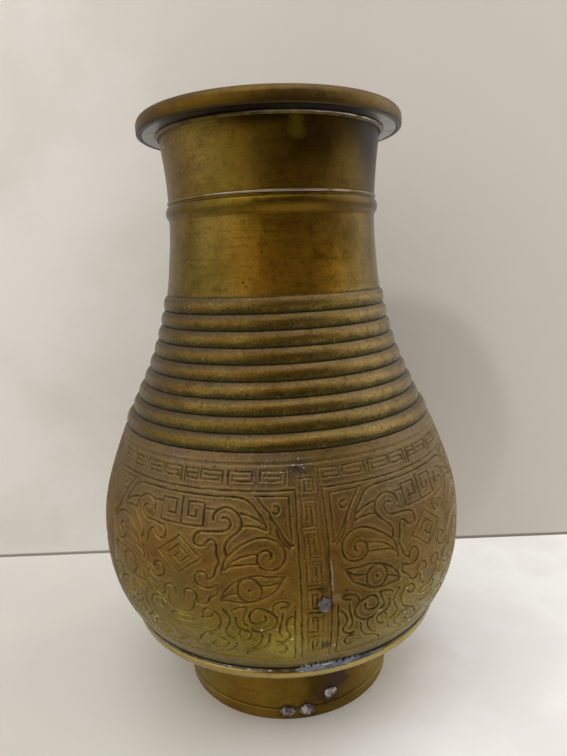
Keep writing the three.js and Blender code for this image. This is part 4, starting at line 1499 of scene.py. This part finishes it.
class VaseTones(bpy.types.PropertyGroup):
    """Colours of the metals and of the stage."""

    lip: colour_setting("Lip", "Tarnished lip", (0.085, 0.047, 0.008))
    lip_rubbed: colour_setting("Rubbed lip", "Lip where hands rub it", (0.135, 0.078, 0.016))
    lip_orange: colour_setting("Lower lip", "Orange brown lower half of the lip", (0.135, 0.070, 0.007))
    # Dust and painted sheen on top of the lip
    lip_dust_and_sheen: colour_setting("Dusty lip", "Greyish top of the lip", (0.130, 0.092, 0.045))
    neck: colour_setting("Neck", "Tarnished neck", (0.140, 0.090, 0.013))
    # Rubbed patches of the neck; the same colour makes its painted highlight and painted light
    neck_rubbed_and_lit: colour_setting("Rubbed neck", "Orange rubbed neck", (0.205, 0.132, 0.034))
    neck_red: colour_setting("Reddish neck", "Reddish brown low on the neck", (0.300, 0.150, 0.014))
    greenish: colour_setting("Greenish", "Greenish tarnish", (0.120, 0.096, 0.012))
    ribs: colour_setting("Ribs", "Tarnished ribs", (0.165, 0.105, 0.023))
    ribs_rubbed: colour_setting("Rubbed ribs", "Brighter ribs", (0.215, 0.143, 0.040))
    ribs_red: colour_setting("Red ribs", "Reddish ribs", (0.190, 0.098, 0.022))
    # Dust and painted sheen on the upper side of the ribs
    ribs_dust_and_sheen: colour_setting("Dusty ribs", "Pinkish grey crests", (0.115, 0.084, 0.056))
    # Olive dirt and painted shade low on the ribs
    olive_dust_and_shade: colour_setting("Olive dust", "Olive dirt low on the ribs", (0.070, 0.060, 0.011))
    # Dirt specks, and dirt with painted shade in the grooves between the ribs
    dust_and_shade: colour_setting("Dust", "Nearly black dirt between the ribs", (0.028, 0.023, 0.008))
    belly_top: colour_setting("Upper belly", "Taupe upper belly", (0.165, 0.110, 0.047))
    belly_dusty: colour_setting("Dusty belly", "Purplish grey dust, high up", (0.145, 0.094, 0.064))
    belly_middle: colour_setting("Middle belly", "Brown middle", (0.165, 0.102, 0.020))
    belly_orange: colour_setting("Orange belly", "Orange brown middle", (0.205, 0.105, 0.019))
    belly_low: colour_setting("Lower belly", "Olive lower belly", (0.160, 0.113, 0.011))
    belly_yellow: colour_setting("Yellow belly", "Yellow green lower belly", (0.235, 0.182, 0.016))
    belly_rubbed: colour_setting("Rubbed belly", "Edges of the chased lines", (0.260, 0.190, 0.060))
    groove: colour_setting("Grooves", "Dirt in the chased lines", (0.055, 0.034, 0.010))
    foot: colour_setting("Foot", "Tarnished foot", (0.250, 0.168, 0.020))
    foot_rubbed: colour_setting("Rubbed foot", "Brighter foot", (0.320, 0.222, 0.032))
    foot_red: colour_setting("Red foot", "Reddish foot", (0.250, 0.118, 0.015))
    # Rubbed metal and painted highlight on the rolled rim
    rim_rubbed_and_lit: colour_setting("Rubbed rim", "Bright rolled rim of the foot", (0.42, 0.33, 0.12))
    hidden: colour_setting("Hidden", "Unpolished brass", (0.16, 0.11, 0.035))
    dark: colour_setting("Dark", "Dark tarnish", (0.042, 0.026, 0.005))
    # Tin with painted light at the sides of the plate, and tin in painted shade towards the front
    tin: colour_setting("Tin", "Grey underside of the lip", (0.230, 0.215, 0.210))
    tin_dark: colour_setting("Dark tin", "Darker grey underside", (0.100, 0.100, 0.112))
    solder: colour_setting("Solder", "Bare grey solder", (0.400, 0.370, 0.370))
    solder_dark: colour_setting("Dull solder", "Dark dull solder", (0.120, 0.105, 0.110))
    table: colour_setting("Table", "White table", (0.670, 0.635, 0.575))
    # Painted light on the right of the table
    table_lit_right: colour_setting("Table on the right", "Whiter part of the table", (0.930, 0.905, 0.870))
    wall: colour_setting("Wall", "Pale wall", (0.630, 0.590, 0.530))
    # Painted light on the left of the wall
    wall_lit_left: colour_setting("Wall on the left", "Lighter part of the wall", (0.82, 0.79, 0.75))
    room: colour_setting("Room", "Dark room in front, as the metal mirrors it", (0.125, 0.104, 0.068))


class PieceOperator(bpy.types.Operator):
    """Base of the operators, which all work on the scene's own settings."""

    bl_options = {"REGISTER", "UNDO"}

    @property
    def sizes(self):
        return bpy.context.scene.vase_sizes

    @property
    def tones(self):
        return bpy.context.scene.vase_tones


class VASE_OT_foot(PieceOperator):
    """Turns the foot with its rolled rim, and the band round its edge"""

    bl_idname = "vase.foot"
    bl_label = "Foot and band"

    def execute(self, context):
        finish = foot_finish(self.tones)
        seat(smooth(spun("spun_foot", foot_section())), finish, "foot_brass", "foot")
        seat(smooth(spun("edge_band", band_section())), finish, "foot_brass", "foot_band")
        return {"FINISHED"}


class VASE_OT_belly(PieceOperator):
    """Makes the belly of five panels, each spun, chased and closed"""

    bl_idname = "vase.belly"
    bl_label = "Chased belly"

    def execute(self, context):
        outer = [*belly_lower(0, 0, 400), *belly_upper(0, 0, 500)[1:]]
        radii, heights = np.array(outer).T
        lengths = np.concatenate([[0], np.cumsum(np.hypot(np.diff(radii), np.diff(heights)))])
        low, high = np.interp([CHASED_FROM, CHASED_TO], heights, lengths)
        rows = np.concatenate([
            np.linspace(0, low, 6)[:-1],
            np.linspace(low, high, CHASED_ROWS)[:-1],
            np.linspace(high, lengths[-1], 6),
        ])
        outside = list(zip(np.interp(rows, lengths, radii), np.interp(rows, lengths, heights)))
        inside = [*belly_lower(WALL, 1.2 * WALL, 8), *belly_upper(WALL, COLLAR_WALL, 10)[1:]]
        start = BAR_ANGLE - PANEL_TURN
        panel = spun("chased_panel_1", [*outside, *inside[::-1]], PANEL_TURN, start, PANEL_STEPS)

        radius, angle, height = places(panel)
        turns = (angle - start + 180) % 360 - 180 - PANEL_TURN / 2
        on_outside = radius > np.interp(height, heights, radii) - OUTSIDE_SLACK
        chasing = chase(outer, self.sizes)
        length = np.interp(height, heights, lengths)
        deep = GROOVE_FULL * self.sizes.line_depth / MM
        groove = np.clip(chasing.at(chasing.cut, turns, length) / deep, 0, 1) * on_outside
        edge = chasing.at(chasing.edge, turns, length) * on_outside * (1 - np.clip(2 * groove, 0, 1))
        press(panel, groove, -deep, "grooves")
        press(panel, edge, self.sizes.burr_height / MM, "burrs")
        keep_amount(panel, "groove", groove)
        keep_amount(panel, "edge", edge)
        close_ends()
        smooth(panel, 65)

        finish = belly_finish(self.tones)
        panels = [panel]
        for count in range(1, PANELS):
            pick(panel)
            bpy.ops.object.duplicate(linked=False)
            turned = name_piece(bpy.context.object, f"chased_panel_{count + 1}")
            turn = radians(PANEL_TURN * count)
            bpy.ops.transform.rotate(value=turn, orient_axis="Z", center_override=(0, 0, 0))
            bpy.ops.object.transform_apply(location=True, rotation=True, scale=True)
            panels.append(turned)
        for piece in panels:
            seat(piece, finish, "belly_brass", "belly")
        return {"FINISHED"}


class VASE_OT_shoulder(PieceOperator):
    """Turns the ribbed shoulder with the lower neck and its bead"""

    bl_idname = "vase.shoulder"
    bl_label = "Ribbed shoulder"

    def execute(self, context):
        shoulder = spun("ribbed_lower_neck", shoulder_section(), steps=SHOULDER_STEPS)
        radius, _, height = places(shoulder)
        turn = np.arctan2(WAIST_HEIGHT - height, WAIST_RADIUS + SHOULDER_SWEEP - radius)
        start = sweep_angle(SHOULDER_SEAM + FIT_GAP / 2)
        ribs_up = (start - turn) / (start - sweep_angle(RIB_TOP)) * RIB_COUNT
        part = ribs_up - np.floor(ribs_up)
        outside = radius > neck_radius_of(height) - 1
        ribbed = (ribs_up > -0.02) & (ribs_up < RIB_COUNT + 0.02) & outside
        # Where dirt and painted shade go: the lower part of each rib, and its groove
        dust_and_shade = np.clip(1.15 - part / RIB_DIRT, 0, 1.15) + np.clip((part - 0.95) / 0.05, 0, 1)
        keep_amount(shoulder, "dust_and_shade", np.where(ribbed, dust_and_shade, 0))
        crest = np.clip((part - RIB_CREST) / RIB_CREST_FADE, 0, 1)
        keep_amount(shoulder, "crest", np.where(ribbed, crest, 0))
        seat(smooth(shoulder), shoulder_finish(self.tones), "shoulder_brass", "ribbed_shoulder")
        return {"FINISHED"}


class VASE_OT_neck(PieceOperator):
    """Turns the upper neck"""

    bl_idname = "vase.neck"
    bl_label = "Upper neck"

    def execute(self, context):
        neck = spun("flared_upper_neck", upper_neck_section())
        seat(smooth(neck), neck_finish(self.tones), "neck_brass", "upper_neck")
        return {"FINISHED"}


class VASE_OT_lip(PieceOperator):
    """Turns the rounded lip, the tinned plate under it and the line of solder at the neck"""

    bl_idname = "vase.lip"
    bl_label = "Lip and underplate"

    def execute(self, context):
        lip = smooth(spun("rounded_lip", lip_section()))
        seat(lip, lip_finish(self.tones), "lip_brass", "lip_rim")
        plate = smooth(spun("tinned_underplate", underplate_section()))
        seat(plate, tinned_finish(self.tones), "tinned_plate", "lip_underplate")
        fillet = smooth(spun("lip_solder_line", lip_solder_section()))
        seat(fillet, lip_line_finish(), "solder", "lip_solder_fillet")
        return {"FINISHED"}


class VASE_OT_solder(PieceOperator):
    """Adds the solder in the belly's seam, the smeared lump on it and the loose dabs"""

    bl_idname = "vase.solder"
    bl_label = "Solder"

    def dab(self, name, finish, node, size, wall_radius, height, angle, wide=1.12, tall=0.82):
        """A flattened, uneven drop that sits on the wall."""
        deselect()
        bpy.ops.mesh.primitive_ico_sphere_add(subdivisions=5, radius=size * MM)
        drop = name_piece(bpy.context.object, name)
        bpy.ops.object.mode_set(mode="EDIT")
        bpy.ops.mesh.select_all(action="SELECT")
        rise = self.sizes.solder_rise / MM
        bpy.ops.transform.resize(value=(wide, rise / size, tall), center_override=(0, 0, 0))
        bpy.ops.object.mode_set(mode="OBJECT")
        away = (wall_radius + FIT_GAP) * MM
        for vertex in drop.data.vertices:
            grain = noise.noise(vertex.co / (DAB_GRAIN * MM) + Vector((angle, height, 0)))
            fine = noise.noise(vertex.co / (DAB_FINE_GRAIN * MM) + Vector((height, angle, 5)))
            vertex.co *= 1 + DAB_UNEVEN * grain + DAB_FINE_UNEVEN * fine
            vertex.co.y = min(vertex.co.y, DAB_SINK * MM)
            bend = away - sqrt(max(0, away ** 2 - vertex.co.x ** 2))
            vertex.co.y += bend - away
            vertex.co.z += height * MM
        drop.data.transform(Matrix.Rotation(radians(angle), 4, "Z"))
        seat(smooth(drop, 60), finish, "solder", node)

    def execute(self, context):
        seam = spun("belly_seam_solder_line", seam_solder_section())
        seat(smooth(seam), seam_finish(self.tones), "solder", "belly_seam_solder")
        self.lump(smear_finish())
        finish = solder_finish(self.tones, "pinkish grey solder", DAB, DAB_STAIN, 2.0)
        band_dab = BAND_HEIGHT - 0.7
        self.dab("solder_dab_left", finish, "band_solder_left", 2.6, BAND_TOP_RADIUS, band_dab, -1.5)
        self.dab("solder_dab_right", finish, "band_solder_right", 2.8, BAND_TOP_RADIUS, band_dab, 8.3)
        foot_wall = BAND_TOP_RADIUS - BAND_FLARE / 2
        self.dab("foot_wall_dab", finish, "foot_wall_solder", 2.6, foot_wall, 9.6, 21)
        finish = solder_finish(self.tones, "purplish grey splash", SPLASH, SPLASH_STAIN, 3.0)
        self.dab("belly_splash", finish, "belly_solder_splash", 2.5, BELLY_RADIUS, 69.9, 9.7, 0.86, 1.05)
        return {"FINISHED"}

    def lump(self, finish):
        """Solder smeared along the seam, thinning to nothing at both ends."""
        inner = RIM_RADIUS + 0.2 + FIT_GAP
        section = [
            (inner, RIM_HEIGHT + 1.2),
            (inner + 0.5, RIM_HEIGHT + 1.5),
            (inner + 0.75, RIM_HEIGHT + 2.2),
            (inner + 0.85, BELLY_BOTTOM),
            (inner + 1.0, BELLY_BOTTOM + 0.6),
            (inner + 1.1, BELLY_BOTTOM + 1.2),
            (inner + 0.95, BELLY_BOTTOM + 1.6),
            (inner + 0.2, BELLY_BOTTOM + 0.4),
        ]
        middle = BELLY_BOTTOM - 0.6
        smear = spun("seam_solder_smear", section, LUMP_END - LUMP_START, LUMP_START, LUMP_STEPS)
        close_ends()
        for vertex in smear.data.vertices:
            angle = degrees(atan2(vertex.co.x, -vertex.co.y))
            full = np.interp(angle, *LUMP_FULL)
            uneven = noise.noise(Vector((angle * 0.7, vertex.co.z / MM * 0.8, 1)))
            ragged = noise.noise(Vector((angle * 1.4, 3, 7)))
            keep = max(0.04, full * (0.85 + 0.5 * uneven))
            tall = max(0.15, full ** 0.5 * (1.15 + 0.8 * ragged))
            vertex.co.z = (middle + (vertex.co.z / MM - middle) * tall) * MM
            radius = hypot(vertex.co.x, vertex.co.y)
            thinner = (inner * MM + (radius - inner * MM) * keep) / radius
            vertex.co.x *= thinner
            vertex.co.y *= thinner
        seat(smooth(smear, 60), finish, "solder", "seam_solder_lump")


class VASE_OT_hidden(PieceOperator):
    """Gives the pieces inside the vase their finishes"""

    bl_idname = "vase.hidden"
    bl_label = "Inner pieces"

    def execute(self, context):
        brass = hidden_finish(self.tones)
        solder = solder_finish(self.tones)
        for name, finish in (
            ("base_plate", brass),
            ("base_plate_solder", solder),
            ("shoulder_joint_solder", solder),
            ("neck_joint_solder", solder),
        ):
            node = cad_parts[name]
            node.data.materials.clear()
            node.data.materials.append(finish)
        return {"FINISHED"}


# Camera and stage: the photograph's frame is 567 by 756 pixels

CAMERA_PLACE = (0.0, -256.65, 183.56)  # millimetres
CAMERA_DOWN = 0.19419  # radians below level
CAMERA_TURN = 0.011211
CAMERA_ROLL = -0.041418
TABLE_EDGE = 0.1053  # metres behind the axis, where the table meets the wall
TABLE_EDGE_SLANT = -0.013
TABLE_SIZE = 16
WALL_CORNERS = ((-6, 0), (6, 0), (-6, 5), (6, 5))  # metres to the right and up
TABLE_CLOUD = (0.73, 0.685, 0.62)
TABLE_NEAR_SHADE = (0.56, 0.52, 0.43)
TABLE_GLOW = (0.5, 1.6)  # metres from the vase where the table turns into plain light
WALL_CLOUD = (0.655, 0.61, 0.54)
WALL_PAINTED_SHADOW = (0.34, 0.315, 0.265)
WALL_FOOT_SHADE = (0.16, 0.14, 0.12)
WALL_GLOW = (0.9, 2.4)
SHADOW_PLACE = (62, 75)  # middle of the painted shadow, in millimetres to the right and up
SHADOW_HALVES = (84, 90)
ROOM_LIGHT = (1, 0.985, 0.96)
LAMPS = (  # name, place, aim, size and power
    ("window on the left", (-0.85, -0.60, 0.75), (0, 0, 0.12), 1.6, 6.5),
    ("lamp on the right", (1.0, 0.05, 0.75), (0, 0, 0.12), 1.3, 5.5),
    ("ceiling", (-0.1, -0.25, 1.4), (0, 0, 0), 1.2, 9.0),
)


class VASE_OT_stage(PieceOperator):
    """Sets the table, the pale wall, the soft light and the camera"""

    bl_idname = "vase.stage"
    bl_label = "Stage and camera"

    def execute(self, context):
        scene = context.scene
        self.table()
        self.light()
        camera = bpy.data.objects.new("camera", bpy.data.cameras.new("camera"))
        scene.collection.objects.link(camera)
        ahead = Vector((
            sin(CAMERA_TURN) * cos(CAMERA_DOWN), cos(CAMERA_TURN) * cos(CAMERA_DOWN), -sin(CAMERA_DOWN)
        ))
        level = Vector((cos(CAMERA_TURN), -sin(CAMERA_TURN), 0))
        up = level.cross(ahead)
        right = cos(CAMERA_ROLL) * level + sin(CAMERA_ROLL) * up
        top = -sin(CAMERA_ROLL) * level + cos(CAMERA_ROLL) * up
        place = Matrix((right, top, -ahead)).transposed().to_4x4()
        place.translation = Vector(CAMERA_PLACE) * MM
        camera.matrix_world = place
        camera.data.lens = self.sizes.lens
        camera.data.sensor_width = 36
        camera.data.clip_start = 0.01
        scene.camera = camera
        scene.view_settings.view_transform = "Standard"
        return {"FINISHED"}

    def table(self):
        """A white table that ends at the wall, whose far parts are plain light, with painted light on its
        right, painted shade at its front left, and a darker front as the metal mirrors it.
        """
        deselect()
        bpy.ops.mesh.primitive_plane_add(size=TABLE_SIZE)
        floor = name_piece(bpy.context.object, "table")
        finish = Finish("white table")
        cloud = finish.grain(70, 4, 0.55)
        across = finish.axis("X")
        # Painted light on the right of the table
        colour = finish.mix(across.fade("table_lit_right"), self.tones.table[:], self.tones.table_lit_right[:])
        colour = finish.mix(cloud.ramp(0.4, 0.65) * 0.4, colour, TABLE_CLOUD)
        # Painted shade on the front left of the table
        near = finish.axis("Y").fade("table_near") * across.fade("table_near_left")
        colour = finish.mix(near * 0.6, colour, TABLE_NEAR_SHADE)
        matt = finish.node("ShaderNodeBsdfPrincipled", inputs={
            "Base Color": colour, "Roughness": 0.5 + cloud * 0.1, "Specular IOR Level": 0.35,
        })
        top = finish.blend(finish.distance().ramp(*TABLE_GLOW), matt, finish.glow(self.tones.wall[:]))
        mirrored = finish.node("ShaderNodeLightPath", output="Is Glossy Ray")
        front = finish.axis("Y").fade("table_mirrored")
        finish.close(finish.blend(mirrored * front * 0.45, top, finish.glow(self.tones.room[:])))
        floor.data.materials.append(finish.material)
        self.wall()

    def wall(self):
        """A wall close behind, which only the camera sees, and only from the front, with painted light on
        its left, a painted soft shadow of the vase and painted shade along its foot.
        """
        deselect()
        bpy.ops.mesh.primitive_plane_add(size=1)
        wall = name_piece(bpy.context.object, "wall")
        for vertex, (across, up) in zip(wall.data.vertices, WALL_CORNERS):
            vertex.co = (across, TABLE_EDGE + across * TABLE_EDGE_SLANT, up)
        finish = Finish("pale wall")
        up = finish.axis("Z")
        cloud = finish.grain(90, 4, 0.55)
        # Painted light on the left of the wall
        paint = finish.mix(finish.axis("X").fade("wall_lit_left"), self.tones.wall[:], self.tones.wall_lit_left[:])
        paint = finish.mix(cloud.ramp(0.38, 0.66) * 0.5, paint, WALL_CLOUD)
        # The vase's soft shadow, painted on the wall to its right
        across = (finish.axis("X") - SHADOW_PLACE[0]) * (1 / SHADOW_HALVES[0])
        along = (up - SHADOW_PLACE[1]) * (1 / SHADOW_HALVES[1])
        away = across * across + along * along + finish.drift(0.2, 60, 2, 0.5, shift=3.3)
        shadow = away.ramp(1.15, 0.75) * (up.fade("wall_shadow") * 0.7 + 0.3)
        paint = finish.mix(shadow * 0.4, paint, WALL_PAINTED_SHADOW)
        # Painted shade along the foot of the wall, where it meets the table
        paint = finish.mix(up.fade("wall_foot_shade") * 0.8, paint, WALL_FOOT_SHADE)
        matt = finish.node("ShaderNodeBsdfPrincipled", inputs={
            "Base Color": paint, "Roughness": 0.7, "Specular IOR Level": 0.1,
        })
        matt = finish.blend(finish.distance().ramp(*WALL_GLOW), matt, finish.glow(self.tones.wall[:]))
        clear = finish.node("ShaderNodeBsdfTransparent")
        back = finish.node("ShaderNodeNewGeometry", output="Backfacing")
        seen = finish.node("ShaderNodeLightPath", output="Is Camera Ray")
        finish.close(finish.blend(seen * (1 - back), clear, matt))
        wall.data.materials.append(finish.material)

    def light(self):
        """Soft lamps, a pale room to the eye and a darker one in the metal."""
        world = bpy.context.scene.world or bpy.data.worlds.new("room")
        bpy.context.scene.world = world
        room = Finish("room", world)
        ray = room.node("ShaderNodeLightPath", output="Is Camera Ray")
        mirrored = Shade(room, ray.socket.node.outputs["Is Glossy Ray"])
        through = Shade(room, ray.socket.node.outputs["Is Transmission Ray"])
        direction = room.node("ShaderNodeTexCoord", output="Generated")
        toward = room.node("ShaderNodeSeparateXYZ", inputs={0: direction}, output="Y")
        sideways = room.node("ShaderNodeSeparateXYZ", inputs={0: direction}, output="X")
        darkness = (toward * -1 + sideways * 0.5).ramp(0.06, 1.0)
        reflected = room.mix(darkness, self.tones.wall[:], self.tones.room[:])
        colour = room.mix(mirrored, self.tones.wall[:], reflected)
        pale = room.node("ShaderNodeBackground", inputs={"Color": colour, "Strength": 1.0})
        plain = room.node("ShaderNodeBackground", inputs={"Color": ROOM_LIGHT, "Strength": 0.45})
        seen = ray.most(mirrored).most(through)
        room.close(room.blend(seen, plain, pale))
        for name, place, aim, size, power in LAMPS:
            lamp = bpy.data.objects.new(name, bpy.data.lights.new(name, "AREA"))
            bpy.context.scene.collection.objects.link(lamp)
            lamp.data.size = size
            lamp.data.energy = power
            lamp.location = place
            lamp.rotation_euler = (Vector(aim) - Vector(place)).to_track_quat("-Z", "Y").to_euler()


class VASE_PT_panel(bpy.types.Panel):
    """Buttons for every piece, with its sizes and colours"""

    bl_label = "Brass vase"
    bl_idname = "VASE_PT_panel"
    bl_space_type = "VIEW_3D"
    bl_region_type = "UI"
    bl_category = "Brass vase"

    def draw(self, context):
        for operator in OPERATORS:
            self.layout.operator(operator.bl_idname)
        for settings in (context.scene.vase_sizes, context.scene.vase_tones):
            box = self.layout.box()
            for name in settings.__annotations__:
                box.prop(settings, name)


OPERATORS = (
    VASE_OT_foot,
    VASE_OT_belly,
    VASE_OT_shoulder,
    VASE_OT_neck,
    VASE_OT_lip,
    VASE_OT_solder,
    VASE_OT_hidden,
    VASE_OT_stage,
)


def register():
    for kind in (VaseSizes, VaseTones, *OPERATORS, VASE_PT_panel):
        bpy.utils.register_class(kind)
    bpy.types.Scene.vase_sizes = bpy.props.PointerProperty(type=VaseSizes)
    bpy.types.Scene.vase_tones = bpy.props.PointerProperty(type=VaseTones)


def unregister():
    del bpy.types.Scene.vase_sizes
    del bpy.types.Scene.vase_tones
    for kind in reversed((VaseSizes, VaseTones, *OPERATORS, VASE_PT_panel)):
        bpy.utils.unregister_class(kind)


def main():
    register()
    bpy.ops.vase.foot()
    bpy.ops.vase.belly()
    bpy.ops.vase.shoulder()
    bpy.ops.vase.neck()
    bpy.ops.vase.lip()
    bpy.ops.vase.solder()
    bpy.ops.vase.hidden()
    bpy.ops.vase.stage()


if __name__ == "__main__":
    main()
